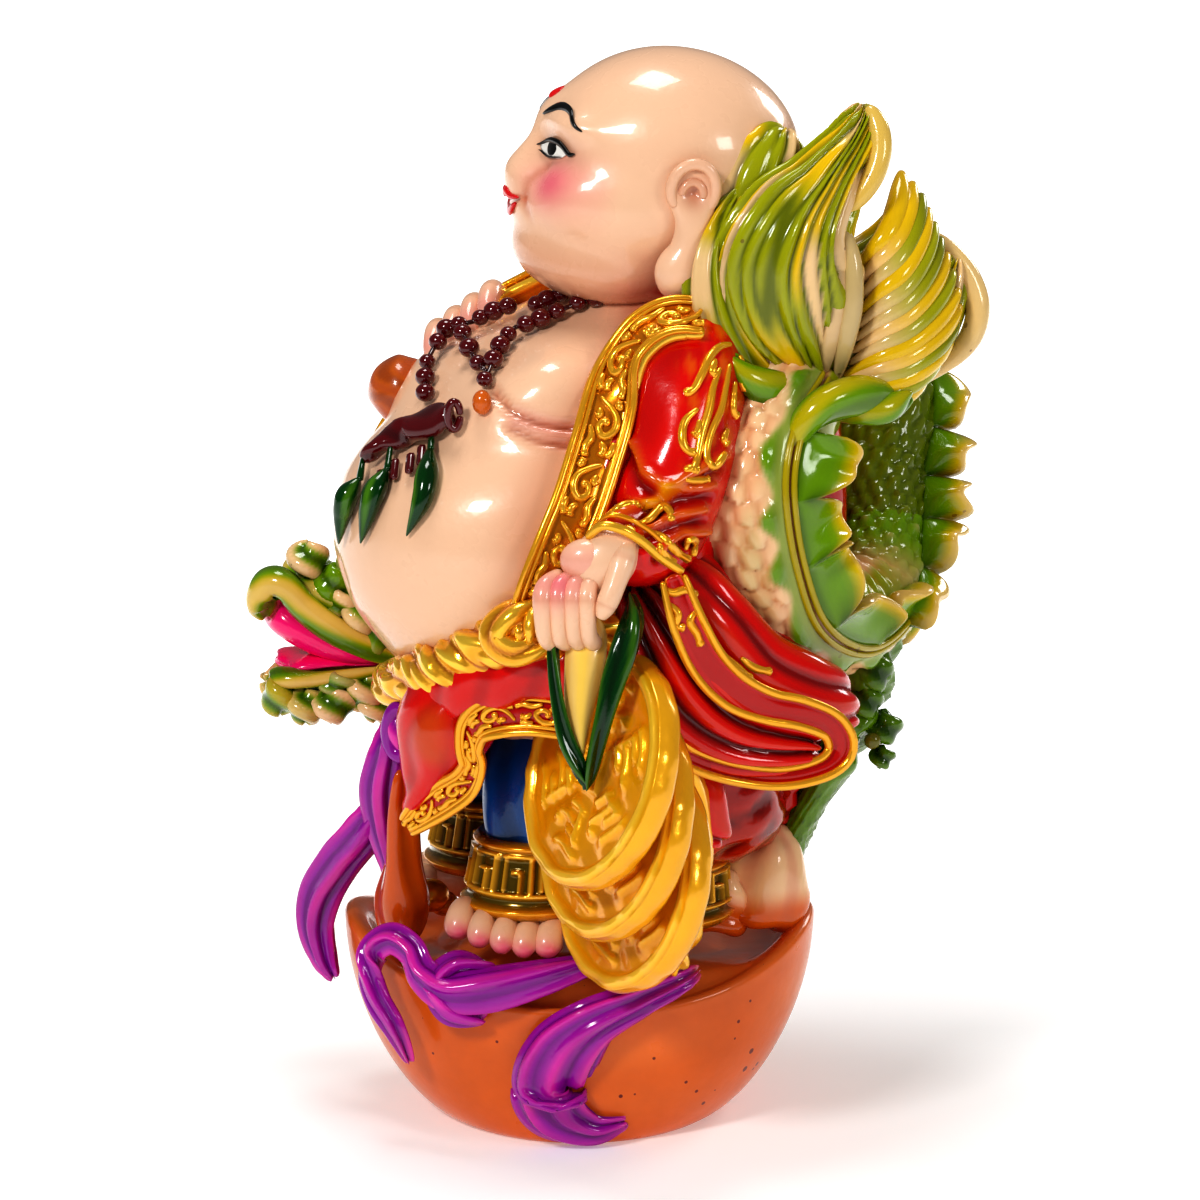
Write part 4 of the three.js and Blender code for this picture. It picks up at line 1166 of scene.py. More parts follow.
# The left lapel's middle line from the shoulder down, as flat points (x, z)
lapel_middle = [[27, 148], [20.5, 148.5], [14.2, 144.5], [9.6, 136.5], [4.8, 125], [0.4, 113], [-3.4, 104.5],
                [-7, 96], [-9.6, 88], [-11, 80]]


def lapel_course(side):
    """A lapel's middle line, outward directions and half widths; the right one follows the robe's edge."""
    if side > 0:
        arm = tube(left_arm, side=(1, 0, 0.3), around=80, rows=80)
        place = front_of([torso.form(190, 140)[0], robe.form(150, 110)[0], arm])
        path, normal = laid(place, *line_of(lapel_middle, 40).T, 1.4)
    else:
        ups = linspace(80, 152, 40)
        path, normal = laid(torso.at, -lapel_turn(ups), ups, 1.5)
    kernel = np.ones(5) / 5
    for line in (path, normal):
        line[2:-2] = stack([np.convolve(column, kernel, "valid") for column in line.T], axis=-1)
    return path, unit_of(normal), full(40, 6.0)


def lapels():
    return [band(*lapel_course(side), 2.6, around=90, rows=170) for side in (1, -1)]


# The sleeve's rim, a band round its mouth from under the wrist: [x, y, z, half width]
sleeve_rim = [
    [20.5, -58.5, 97, 2.6], [24, -58.5, 86, 3.6], [28.4, -56.5, 76.5, 4], [34.5, -54.5, 69.6, 4],
    [42, -51, 65.2, 3.4], [50, -47.5, 62.6, 3.2], [57, -43.5, 58.5, 3], [59.2, -42, 53, 3],
    [55.5, -43, 48.9, 2.4], [46, -45.5, 47.2, 2.2], [36, -48, 48.8, 2.2], [27, -51.5, 52.4, 2.2],
    [21, -54.5, 57, 2.2], [16.5, -57, 65, 2.2],
]


def sleeve_mouth():
    """The open sleeve's inside: deep folds that run along it from the wrist."""
    form = tube([
        [13, -49, 92, 8, 7], [16, -50, 80, 11, 8], [23.5, -49.5, 67.5, 12.5, 8], [33, -47, 59.5, 10.5, 7.5],
        [43, -44, 55.4, 8, 6.5], [53, -40.5, 54, 5.5, 5],
    ], side=(0.6, 0, 1), around=130, rows=76, blunt=6)
    wave = np.abs(cos(pi * (11 * form.turn + 0.6 * sin(3 * form.along) + 0.25 * sin(9 * form.along))))
    form.lift(3.0 * wave - 1.8)
    # Painted shade in the troughs and deep inside towards the wrist, and orange on the highest crests as
    # painted highlight
    shade = 1 - step(form.along, 0.1, 0.4)
    return form.paint(recess=0.9 * (1 - step(wave, 0.25, 0.85)) + 0.6 * shade,
                      accent=0.2 * step(wave, 0.9, 1))


# Gold trim

def lapel_scrolls():
    radius = drawn("wire_radius")
    forms = []
    for side in (1, -1):
        place, run = band_place(*lapel_course(side), 2.6)
        forms += band_rims(place, run, (-0.93, -0.72, 0.7, 0.93), radius)
        if side > 0:
            forms += gilt(place, scroll_strokes(run, 15.5, 0.52), 0.95 * radius)
    return forms


def sash():
    """The gathered sash under the belly: cusped gathers that run aslant round a flat cord, and its knot."""
    turns = [[*body(-20, -42, 58), 5, 4], [-40, 6, 58, 4.4, 4], [-43, -10, 60, 4.6, 4],
             [-41.6, -23, 63.5, 5, 4.4], [-38, -32, 67, 5.6, 4.6], [-33.6, -39, 69.8, 6, 4.6],
             [-28.2, -45, 73.6, 6, 4.6], [-22, -49.5, 77.4, 6, 4.6], [-15.5, -52.5, 80.2, 6, 4.6],
             [-8, -54.5, 82, 5.8, 4.6], [0, -55, 83, 5, 4.4], [9, -52, 84, 4.6, 4], [20, -44, 84, 4]]
    form = tube(turns, side=(0, 0, 1), around=84, rows=260, blunt=8)
    sway = 0.3 * sin(tau * 4 * form.along) + 0.14 * sin(tau * form.turn + 9 * form.along)
    phase = -4 * form.turn + 15 * form.along + sway
    cusp = np.abs(cos(pi * phase))
    tall = 0.7 + 0.3 * sin(2.4 * np.round(phase))
    crossing = np.abs(cos(pi * (form.turn + 19 * form.along + 0.4 * sin(5 * phase))))
    form.lift(1.9 * cusp * tall - 1.1 + 0.7 * crossing)
    # Painted shade between the gathers; pale gold over the sash, brighter where crests cross, as painted
    # highlight
    form.paint(recess=0.7 * (1 - step(cusp, 0.06, 0.36)), edge=0.35 + 0.6 * step(cusp * crossing, 0.4, 0.9))
    forms = [form]
    for stations, folds in (
            ([[-8, -56, 88, 4], [-14, -57, 87, 4.8, 4], [-18, -56.5, 82.8, 4.6, 4],
              [-14.6, -58, 79.6, 4, 3.6], [-8, -58, 81, 3.4, 3.2], [-4, -57, 83, 2.6]], 4),
            ([[-6, -57.5, 89.5, 3], [-10.5, -59, 85.4, 3.6, 3], [-13.5, -59.5, 82.6, 3, 2.6]], 3)):
        knot = tube(stations, side=(0, 1, 0), around=48, rows=70)
        wave = np.abs(cos(pi * (folds * knot.turn + 2.5 * knot.along)))
        knot.lift(1.2 * wave - 0.6)
        # Painted shade in the knots' troughs, and pale gold on them, more on the crests as painted highlight
        forms.append(knot.paint(recess=0.6 * (1 - step(wave, 0.1, 0.5)), edge=0.3 + 0.4 * step(wave, 0.7, 1)))
    return forms


# The skirt's bordered hem, from behind the coins round its corner: [x, y, z, half width]
hem_line = [
    [-2, -55, 63.6, 5], [-11, -53, 64.2, 5], [-18.6, -51, 62.8, 4.8], [-23, -48.5, 59.6, 3.8],
    [-24.3, -46.5, 54.4, 2.8], [-23.6, -45.5, 49.8, 2.8], [-25.6, -43.5, 45, 3.6], [-30, -40.5, 41, 4],
    [-35.4, -36, 36, 3.4], [-39, -32.5, 32, 2.2],
]


def hem_course():
    """The hem's middle line, its outward directions and its half widths."""
    rows = line_of(hem_line, 50)
    path = rows[:, :3]
    ahead = array([-0.35, -1.0, 0.1])
    tangent = unit_of(np.gradient(path, axis=0))
    return path, unit_of(ahead - (tangent @ ahead)[:, None] * tangent), rows[:, 3]


def cuff(x, y, low, high):
    """A trouser cuff: a flared ring with raised lines at both edges and a meander between."""
    turn, along = grid_of(190, 54)
    first, last = 0.06, 0.94
    level = clip((along - first) / 0.88, 0, 1)
    inside = (along < first) | (along > last)
    radius = mix(15.2, 12.6, level ** 0.8) * where(inside, 0.7, 1)
    points = stack([x + radius * cos(tau * turn) - 1.0 * (1 - level),
                    y + radius * sin(tau * turn) - 2.0 * (1 - level), mix(low, high, level)], axis=-1)
    form = Form(points, turn, along)
    key = meander(turn * 10 + 0.3, level)
    raised = clip(key + bell(level - first, 0.06) + bell(level - last, 0.06), 0, 1)
    form.lift(where(inside, 0, 1.5 * raised))
    return form.paint(recess=0.85 * (1 - raised), edge=0.4 * key)


# The strings of beads as flat paths (x, z), with the number of beads on each
bead_strings = [
    ([[12.5, 152], [6.3, 151], [1.3, 149.4], [-3.5, 147.6], [-9.2, 145.4], [-14.6, 143.4], [-18, 140],
      [-19.4, 137], [-21.4, 133.4]], 10),
    ([[9.7, 153.6], [3.7, 152.4], [-0.6, 151.2], [-6, 149], [-11, 147]], 6),
    ([[-14.5, 147], [-18.8, 145.4], [-24.8, 142.6], [-29, 141.6], [-31.6, 138.9], [-33.9, 134.7],
      [-33.8, 128.4]], 9),
    ([[-27, 142], [-24.2, 139.3], [-22, 137.4], [-20, 136.4]], 3),
]


def beads(place, flat, count, radius):
    """Round beads spaced along a cord that lies on the chest."""
    path = place(*line_of(flat, 60).T, 1.6)
    far = length_along(path)
    forms = [wire(path[::3], 0.6, (-0.4, -0.8, 0.4), sides=7, rows=60).paint(recess=0.6)]
    for i in range(count):
        reach = far[-1] * (i + 0.5) / count + 0.5 * math.sin(2.3 * i)
        centre = [interp(reach, far, path[:, k]) for k in range(3)]
        size = radius * (1 + 0.12 * math.sin(1.9 * i))
        forms.append(egg(centre, [size, 0.9 * size, 0.92 * size], 24, 16))
    return forms


def meander(place, level):
    """A key pattern, 1 on its lines: one hook for each whole number of `place`, at levels 0.25 to 0.85."""
    s = place % 1
    t = (level - 0.27) / 0.58
    strokes = [
        (0.0, 0.9, 0.97, 0.06, "h"), (0.06, 0.15, 1.0, 0.05, "v"), (0.0, 0.5, 0.03, 0.06, "h"),
        (0.5, 0.03, 0.62, 0.05, "v"), (0.28, 0.52, 0.6, 0.06, "h"), (0.78, 0.0, 1.0, 0.05, "v"),
        (0.5, 1.0, 0.03, 0.06, "h"),
    ]
    mask = np.zeros_like(s)
    for a, b, c, width, way in strokes:
        if way == "h":
            line = bell(t - c, width) * step(s, a - 0.05, a) * (1 - step(s, b, b + 0.05))
        else:
            line = bell(s - a, width) * step(t, b - 0.06, b) * (1 - step(t, c, c + 0.06))
        mask = np.maximum(mask, line)
    return step(mask, 0.25, 0.6) * (t > -0.05) * (t < 1.08)


def hem():
    return band(*hem_course(), 2.0)


def hem_scrolls():
    radius = drawn("wire_radius")
    place, run = band_place(*hem_course(), 2.0)
    return band_rims(place, run, (-0.9, -0.62, 0.62, 0.9), radius) + gilt(
        place, scroll_strokes(run, 13, 0.45), 0.72 * radius)


# Gold strokes on the left sleeve as flat paths (x, z): at the shoulder, then on the forearm
sleeve_strokes = [
    [[34, 144.5], [31.3, 144.5], [29, 142.8], [26.8, 138.8], [25.2, 136.3], [23, 135.4]],
    [[31.3, 140.5], [29.6, 136.6], [28.6, 132], [27, 127], [25.8, 121.2], [24.7, 118.9]],
    [[26.3, 132.4], [23.5, 130], [22.7, 126.7], [23.5, 124], [25.8, 122.8]],
    [[33.5, 141], [32.4, 136], [31.3, 131.5], [29, 127], [28, 122.4], [29.7, 119.8], [32.5, 122.4]],
    [[35.8, 142], [36.5, 139], [36.2, 136.2], [37, 134.5]], [[23, 119.6], [24.7, 119.9], [26.3, 119.4]],
    [[34.7, 136.8], [34.2, 133.4], [34.2, 130.5], [35.2, 129]], [[30.2, 142.2], [29.4, 140], [30.4, 138.6]],
    [[26.6, 130], [26.2, 127.6], [25, 126.6]], [[33, 127], [32, 125], [33, 123.6]],
    [[5.6, 109], [9.5, 111.9], [14, 112.2]], [[12.2, 108.3], [15.5, 109.7], [18.3, 111.9], [20, 110.8],
                                              [20, 109]],
    [[15, 107.4], [19, 105.2], [21.7, 101.8], [24.4, 99.5]],
    [[23.3, 102], [24.2, 104.7], [25.6, 103.6], [25, 100.2]],
    [[23.3, 117.7], [26.6, 117], [28.8, 117]], [[17.5, 104.6], [18.6, 102], [21, 99.5]],
    [[8, 106.6], [11, 107.4], [14, 105.4]],
    [[18, 94.2], [20.7, 93], [23.5, 93.6], [26, 92]], [[19.6, 90.7], [21.8, 88.4], [21.3, 85.6], [23.5, 85]],
    [[26, 89], [24.5, 86.5], [26, 83.5], [27, 80.5]], [[31, 79], [35, 74.8], [38.5, 71.6]],
    [[36, 76.6], [39, 74], [43, 72.4]],
]


def sleeve_motifs():
    """Scrolls on the left sleeve, the gold edge at the wrist and the lines of the sleeve's rim."""
    radius = drawn("wire_radius")
    place = front_of([arm_sleeve(), *hanging_sleeve(), band(*rim_course(), 1.6)])
    forms = gilt(place, sleeve_strokes, 1.05 * radius)
    wrist = line_of([[1.6, -62.5, 106], [5, -64.5, 109.2], [9.5, -65, 108.4], [13.9, -63.5, 105.4],
                     [17.7, -61.5, 101.6], [23, -58.5, 97.4]], 24)
    forms.append(wire(wrist, 1.25 * radius, (-0.2, -1, 0.2), rows=70).paint(edge=0.5))
    forms.append(wire(wrist + [1.6, 1.0, 2.2], 0.7 * radius, (-0.2, -1, 0.2), rows=70))
    rim, run = band_place(*rim_course(), 1.6)
    return forms + band_rims(rim, run, (-0.95, 0.95), 1.15 * radius)


class FIGURINE_OT_robe(bpy.types.Operator):
    """Make the red robe, its sleeves and the front of the skirt"""
    bl_idname = "figurine.robe"
    bl_label = "Robe"

    def execute(self, context):
        mesh_piece("robe", [robe_skin(), robe_back()], red_paint())
        mesh_piece("sleeves", sleeves(), red_paint())
        mesh_piece("skirt", [*skirt(), hem()], red_paint())
        return {"FINISHED"}


class FIGURINE_OT_gold_trim(bpy.types.Operator):
    """Make the gold lapels, the sash, the rims, the scrolls and the trouser cuffs"""
    bl_idname = "figurine.gold_trim"
    bl_label = "Gold trim"

    def execute(self, context):
        mesh_piece("lapels", lapels(), gold_paint())
        mesh_piece("scrolls", lapel_scrolls() + hem_scrolls() + sleeve_motifs(), gold_paint())
        mesh_piece("sash", sash(), gold_paint())
        cuffs = [cuff(-10.5, -20, 11, 27), cuff(-20, 15, 11, 27), cuff(21, -12, 6, 19)]
        mesh_piece("trouser_cuffs", cuffs, cuff_paint())
        nugget = [egg([-35.1, -8, 8], [4.6, 4.2, 4]), egg([-32, -6, 5.5], [3.5, 3.5, 3])]
        mesh_piece("gold_nugget", nugget, gold_paint())
        return {"FINISHED"}


def trouser_legs():
    """Both legs of the trousers, from the hip down into the cuff, dark where the robe shades them."""
    forms = []
    for (x, y), hip in (((-10.5, -20), (2, -16, 58)), ((-20, 15), (-8, 12, 58))):
        form = tube([[*hip, 16, 16], [x + 2, y + 2, 40, 13, 13], [x, y, 22, 11.5, 11.5]], side=(1, 0, 0),
                    around=96, rows=60, blunt=8)
        # Painted shade high on each leg under the robe, and in the troughs of the folds
        shade = 0.6 * (1 - step(form.along, 0.3, 0.6))
        forms.append(waved(form, 5, 7, 0.6, recess=(0.4, 0, 1), accent=shade))
    return forms


class FIGURINE_OT_trousers(bpy.types.Operator):
    """Make the blue trousers"""
    bl_idname = "figurine.trousers"
    bl_label = "Trousers"

    def execute(self, context):
        mesh_piece("trousers", trouser_legs(), blue_paint())
        return {"FINISHED"}


# What the monk wears and carries

def on_chest():
    """Places flat points (x, z) on the bare chest."""
    return front_of([torso.form(150, 120)[0]])


def necklace():
    """The strings of beads and the smooth carved bar that hangs from them."""
    place = on_chest()
    radius = drawn("bead_diameter") / 2
    forms = []
    for flat, count in bead_strings:
        forms += beads(place, flat, count, radius)
    bar_line = line_of([[-26.6, 127.6], [-31, 125.6], [-36, 122.8], [-42, 119.4], [-47.5, 115]], 12)
    bar_path = place(*bar_line.T, 2.4)
    width = interp(linspace(0, 1, 12), [0, 0.15, 0.5, 1], [3.6, 4.3, 3.6, 2.2])
    bar = tube(column_stack([bar_path, width, full(12, 2.4)]), side=(0.3, 0.3, 1), around=60, rows=70)
    groove = cos(tau * (2 * bar.turn + 0.8 * sin(5 * bar.along)))
    bar.lift(0.35 * groove)
    # Painted shade in the bar's grooves
    forms.append(bar.paint(recess=0.4 * step(-groove, 0.1, 1)))
    angle = linspace(0, tau, 20)
    ring = bar_path[0] + 3.1 * stack([0.45 * cos(angle), 0 * angle - 0.7, sin(angle)], axis=-1)
    forms.append(wire(ring, 1.0, (-0.4, -0.9, 0.2)))
    for x, z in ((-37, 116.6), (-40.5, 115), (-34.5, 118.4), (-43.6, 112.6)):
        drop = place(array([x, x - 0.3]), array([z + 1.8, z - 1.8]), 1.6)
        forms.append(wire(line_of(drop, 5), 1.15, (-0.4, -0.9, 0.2), rows=12))
    return forms


# Each pepper's top, middle and tip as flat points (x, z)
pepper_lines = [[[-32.4, 120], [-33.6, 111.6], [-38, 102.7]], [[-42.1, 114.8], [-45.2, 108], [-48.4, 99]],
                [[-48.2, 111.8], [-51.2, 106], [-53.6, 97]]]


def peppers():
    """Green peppers that hang from the bar, each with a stalk, a painted highlight streak and painted shade
    in its troughs.
    """
    place = on_chest()
    forms = []
    s = linspace(0, 1, 9)
    for k, line in enumerate(pepper_lines):
        flat = smooth(line, s)
        path = place(*flat.T, interp(s, [0, 0.4, 1], [2.0, 2.6, 1.2]))
        width = interp(s, [0, 0.3, 0.6, 1], [1.6, 2.9, 2.3, 0.6])
        form = tube(column_stack([path, width, width]), side=(1, 0, 0), around=28, rows=50, blunt=2.4)
        wave = cos(tau * (2 * form.turn + 0.3 * form.along + 0.2 * k))
        forms.append(form.paint(accent=0.75 * step(wave, 0.55, 1) * bell(form.along - 0.45, 0.35),
                                recess=0.3 * step(-wave, 0.4, 1)))
        stalk = place(flat[0, 0] + linspace(0.6, 0, 5), flat[0, 1] + linspace(4.4, -0.6, 5), 2.0)
        forms.append(wire(stalk, linspace(0.6, 1.0, 5), (-0.5, -0.8, 0.2), rows=14))
    return forms


def gourd():
    form = tube([
        [-49, 6, 124.6, 4], [-45.4, 5, 125.6, 8], [-40.6, 4, 126.4, 8.8], [-36.4, 3.6, 127.6, 6.8],
        [-33, 3, 129, 5], [-29.5, 3, 130, 4.2], [-26, 6, 131, 3],
    ], around=60, rows=70, blunt=2.5)
    x, y, z = moveaxis(form.points, -1, 0)
    grain = sin(0.5 * x + 0.7 * z + 1.5 * sin(0.4 * z + 0.3 * y))
    return form.paint(recess=0.4 * step(grain, -0.2, 0.9) + 0.3 * step(x, -38, -32),
                      accent=0.5 * step(-grain, 0.1, 0.9))


def coin_place(right, deep, up, centre, turn, lean):
    """A coin's own terms (right, deep, up), where -deep is its face, as the drawing's x, y, z."""
    a, b = math.radians(lean), math.radians(turn)
    leaned = array([[1, 0, 0], [0, math.cos(a), -math.sin(a)], [0, math.sin(a), math.cos(a)]])
    turned = array([[math.cos(b), -math.sin(b), 0], [math.sin(b), math.cos(b), 0], [0, 0, 1]])
    return asarray(centre) + stack([right, deep, up], axis=-1) @ (turned @ leaned).T


def coin_relief(x, z, radius):
    """Height of a coin's face: a raised rim, a square well and rows of soft strokes round it."""
    out = hypot(x, z)
    rim = step(out, 0.87 * radius, 0.91 * radius) * (1 - step(out, 0.97 * radius, radius))
    square = np.maximum(np.abs(x), np.abs(z))
    well = bell(square - 0.17 * radius, 0.8)
    strokes = np.zeros_like(x)
    for k in range(6):
        angle = k * math.pi / 3 + 0.45
        u = (x * math.cos(angle) + z * math.sin(angle)) / radius
        v = (-x * math.sin(angle) + z * math.cos(angle)) / radius
        for row, middle, reach in ((0.36, 0.02, 0.13), (0.48, -0.05, 0.2), (0.6, 0.04, 0.13),
                                   (0.72, 0.0, 0.2)):
            bow = row + 0.04 * cos(9 * (v - middle) + k)
            line = bell(u - bow, 0.036) * (1 - step(np.abs(v - middle), reach - 0.05, reach + 0.03))
            strokes = np.maximum(strokes, line)
        line = bell(v - 0.1 - 0.14 * (u - 0.5), 0.036) * (1 - step(np.abs(u - 0.5), 0.12, 0.2))
        strokes = np.maximum(strokes, line)
        strokes = np.maximum(strokes, bell(hypot(u - 0.5, v + 0.24), 0.055))
    return 1.5 * rim + 0.9 * well + 1.2 * strokes - 0.8 * (square < 0.14 * radius)


def coin(centre, turn, lean):
    """A coin as rings: the face out to the rim, the rounded edge and the back, all a little uneven."""
    radius, half = drawn("coin_diameter") / 2, drawn("coin_thickness") / 2
    face_end, edge_end = 0.72, 0.88
    turns, along = grid_of(180, 84)
    face, back = along <= face_end, along > edge_end
    edge = ~face & ~back
    wall = clip((along - face_end) / 0.16, 0, 1)
    out = where(back, radius * (1 - (along - edge_end) / 0.12), clip(along / face_end, 0, 1) * radius)
    x, z = out * cos(tau * turns), out * sin(tau * turns)
    height = coin_relief(x, z, radius)
    worn = 0.25 * sin(0.5 * x + 1.0 * sin(0.35 * z)) * sin(0.45 * z + centre[2])
    deep = where(face, -0.6 * half - height - worn, where(edge, mix(-0.9 * half, half, wall), half))
    grow = 1 + (where(edge, 0.8 * sin(pi * wall), 0) + worn) / radius
    form = Form(coin_place(x * grow, deep, z * grow, centre, turn, lean), turns, along)
    # Painted shade over the face's low relief and a little round the edge; the raised relief and the edge
    # paler gold
    return form.paint(recess=where(face, 0.3 * (1 - step(height, 0.0, 0.6)), 0.15 * edge),
                      edge=where(face, 0.6 * step(height, 0.8, 1.4), 0.2 * edge))


def coin_strap():
    """The folded gold cloth that hangs behind and beside the coins."""
    form = tube([
        [13, -46, 76, 8], [16.4, -46, 62, 9], [19.4, -45, 44, 9.5, 9], [20, -43, 26, 9.5, 9],
        [19, -42, 11, 8], [19.6, -41, 0, 6],
    ], side=(1, -0.35, 0), around=110, rows=110, blunt=5)
    phase = 5 * form.turn + 1.6 * form.along + 0.3 * sin(16 * form.along)
    wave = np.abs(cos(pi * phase))
    lumps = sin(34 * form.along + 5 * sin(tau * 2 * form.turn)) * sin(tau * 3 * form.turn + 7 * form.along)
    form.lift(2.2 * wave - 1.4 + 0.9 * lumps)
    # Painted shade in the troughs, and pale gold on the crests as painted highlight
    return form.paint(recess=0.6 * (1 - step(wave, 0.1, 0.55)), edge=0.5 * step(wave, 0.8, 1))


def cord_loop():
    """The dark green cord: two strands that meet in a point on the first coin."""
    strands = (
        [[11.4, -60, 93, 1.6], [11.8, -65, 88.5, 2.8, 2], [10.2, -67.5, 82, 3.1, 2], [7.6, -69, 75, 2.6, 1.8],
         [5.4, -70, 67.5, 1.9, 1.6], [3.4, -70.5, 60, 1.7, 1.5], [2, -71, 54, 1.5, 1.3], [1.4, -71, 51, 0.8]],
        [[-6.1, -63, 86, 1.3, 1.2], [-5.6, -66, 79, 1.3, 1.2], [-4.6, -68.5, 70, 1.3, 1.2],
         [-2.9, -69.8, 62, 1.7, 1.4], [-0.4, -70.6, 56, 1.8, 1.4], [1.4, -71, 52, 0.9]],
    )
    # Lighter green on the crests as painted highlight, and painted shade in the troughs
    return [waved(tube(stations, side=(1, 0, 0), around=36, rows=70), 3, 9, 0.45, accent=(0.45, 0.4, 1),
                  recess=(0.5, 0.2, 1)) for stations in strands]


def slip():
    """The pale slip of cloth between the cord's strands."""
    form = tube([[2, -61, 88, 5, 2], [1.2, -64.5, 79, 4.6, 1.8], [0, -67, 68, 3.2, 1.5],
                 [0.2, -69, 57, 1.4, 1.2]], side=(1, 0, 0), around=32, rows=40)
    # Pale gold over half the cream and more on the crests as painted highlight, and painted shade in the
    # troughs
    return waved(form, 3, 3, 0.25, edge=(0.3, 0, 1, 0.5), recess=(0.35, 0.4, 1))


class FIGURINE_OT_worn(bpy.types.Operator):
    """Make the necklace and its bar, the peppers and the gourd"""
    bl_idname = "figurine.worn"
    bl_label = "Necklace and gourd"

    def execute(self, context):
        mesh_piece("necklace", necklace(), bead_paint())
        mesh_piece("peppers", peppers(), pepper_paint())
        end_bead = egg(on_chest()(-20.8, 130.8, 2.0), [2.2, 2.2, 2.8], 24, 16)
        mesh_piece("gourd", [gourd(), end_bead], gourd_paint())
        return {"FINISHED"}


class FIGURINE_OT_coins(bpy.types.Operator):
    """Make the string of coins with its strap, slip and cord"""
    bl_idname = "figurine.coins"
    bl_label = "Coins"

    def execute(self, context):
        coins = [coin([4.6, -60, 52.6], -61, -19), coin([8, -55.4, 39.5], -60, -17),
                 coin([12, -50.4, 26], -59, -14)]
        mesh_piece("coins", coins, coin_paint())
        mesh_piece("coin_strap", [coin_strap()], coin_paint())
        mesh_piece("coin_slip", [slip()], slip_paint())
        mesh_piece("coin_cord", cord_loop(), pepper_paint())
        return {"FINISHED"}


# The ingot and the ribbons on it

underside = (64.0, 70.0)
over_rim = (111.0, 84.0)
rim_height, tip_rise, hull_roundness, rim_thickness = 34.0, 13.0, 0.6, 2.5


def rim_level(angle):
    return rim_height + tip_rise * np.abs(cos(angle)) ** 3


def hull_point(angle, rise):
    """A point of the hull: rise is 0 at the underside and 1 at the rim; z is counted from the soles."""
    angle, rise = broadcast_arrays(asarray(angle, float), asarray(rise, float))
    bulge = sin(pi / 2 * np.minimum(rise, 1)) ** hull_roundness
    return stack([
        mix(underside[0], over_rim[0], bulge) / 2 * cos(angle),
        mix(underside[1], over_rim[1], bulge) / 2 * sin(angle),
        rim_level(angle) * rise - stand_height,
    ], axis=-1)


def ingot():
    """The hull from its flat underside to the rim, the rim's rounded lip, and the top with its dome."""
    turn, along = grid_of(200, 110)
    angle = tau * turn
    flat_end, wall_end, lip_end = 0.03, 0.53, 0.56
    wall = clip((along - flat_end) / 0.5, 0, 1)
    over = clip((along - wall_end) / 0.03, 0, 1)
    share = clip(1 - (along - lip_end) / 0.44, 0, 1)
    inner = 1 - 2 * rim_thickness / over_rim[1]
    rim = hull_point(angle, 1.0)
    tip = cos(angle) ** 2
    shares = [0, 0.36, 0.66, 0.87, 1]
    front = interp(share, shares, [44, 44, 43.3, 40.5, rim_height])
    side = interp(share, shares, [44, 43, 38, 39, rim_height + tip_rise])
    edge_level = mix(mix(40.5, 39, tip), rim_level(angle), step(share, 0.87, 1.0))
    level = where(share > 0.87, edge_level, mix(front, side, tip))
    top = stack([rim[..., 0] * share * inner, rim[..., 1] * share * inner, level - stand_height], axis=-1)
    lip = (along > wall_end) & (along <= lip_end)
    lip_points = rim * stack([mix(1, inner, over), mix(1, inner, over), np.ones_like(over)], axis=-1)
    lip_points[..., 2] = rim[..., 2] + 0.7 * sin(pi * over)
    flat = hull_point(angle, 0.0) * stack([along / flat_end, along / flat_end, np.ones_like(along)], axis=-1)
    points = hull_point(angle, wall)
    for chosen, stage in ((along > lip_end, top), (lip, lip_points), (along < flat_end, flat)):
        points = where(chosen[..., None], stage, points)
    # Paler paint in patches round the hull's bulge and rim and low on the hull, and on the lip; over the top,
    # which the figurine shades, the paler paint is painted light
    patch = bell(wall - 0.72, 0.16) * (0.5 + 0.5 * cos(5 * angle + 1)) + 0.5 * bell(wall - 1, 0.05)
    bare = 0.5 * bell(wall - 0.3, 0.2) * (0.5 + 0.5 * cos(3 * angle - 2))
    form = Form(points, turn, along)
    return form.paint(accent=0.55 * (patch + bare) + 0.9 * (along > lip_end), edge=0.6 * lip)


def ribbon(stations, folds, side, rows=110, fade=(0.0, 0.0)):
    """A cloth ribbon with soft folds, its crests magenta, partly as painted highlight, painted shade in its
    troughs, and its ends faded to the ingot's paint.
    """
    form = tube(stations, side=side, around=60, rows=rows, blunt=4)
    phase = folds * form.turn + 0.35 * sin(4 * form.along) + 0.5 * form.along
    wave = cos(tau * phase)
    form.lift(0.75 * wave + 0.3 * cos(tau * 2.3 * phase))
    start, end = fade
    faded = start * (1 - step(form.along, 0, 0.2)) + end * step(form.along, 0.8, 1)
    wash = step(sin(9 * form.along + 4 * sin(tau * form.turn)), -0.4, 0.8)
    return form.paint(accent=0.7 * step(wave, -0.2, 1) * (0.45 + 0.55 * wash) + 0.4 * faded,
                      edge=0.8 * faded ** 2, recess=0.4 * step(-wave, 0.5, 1))


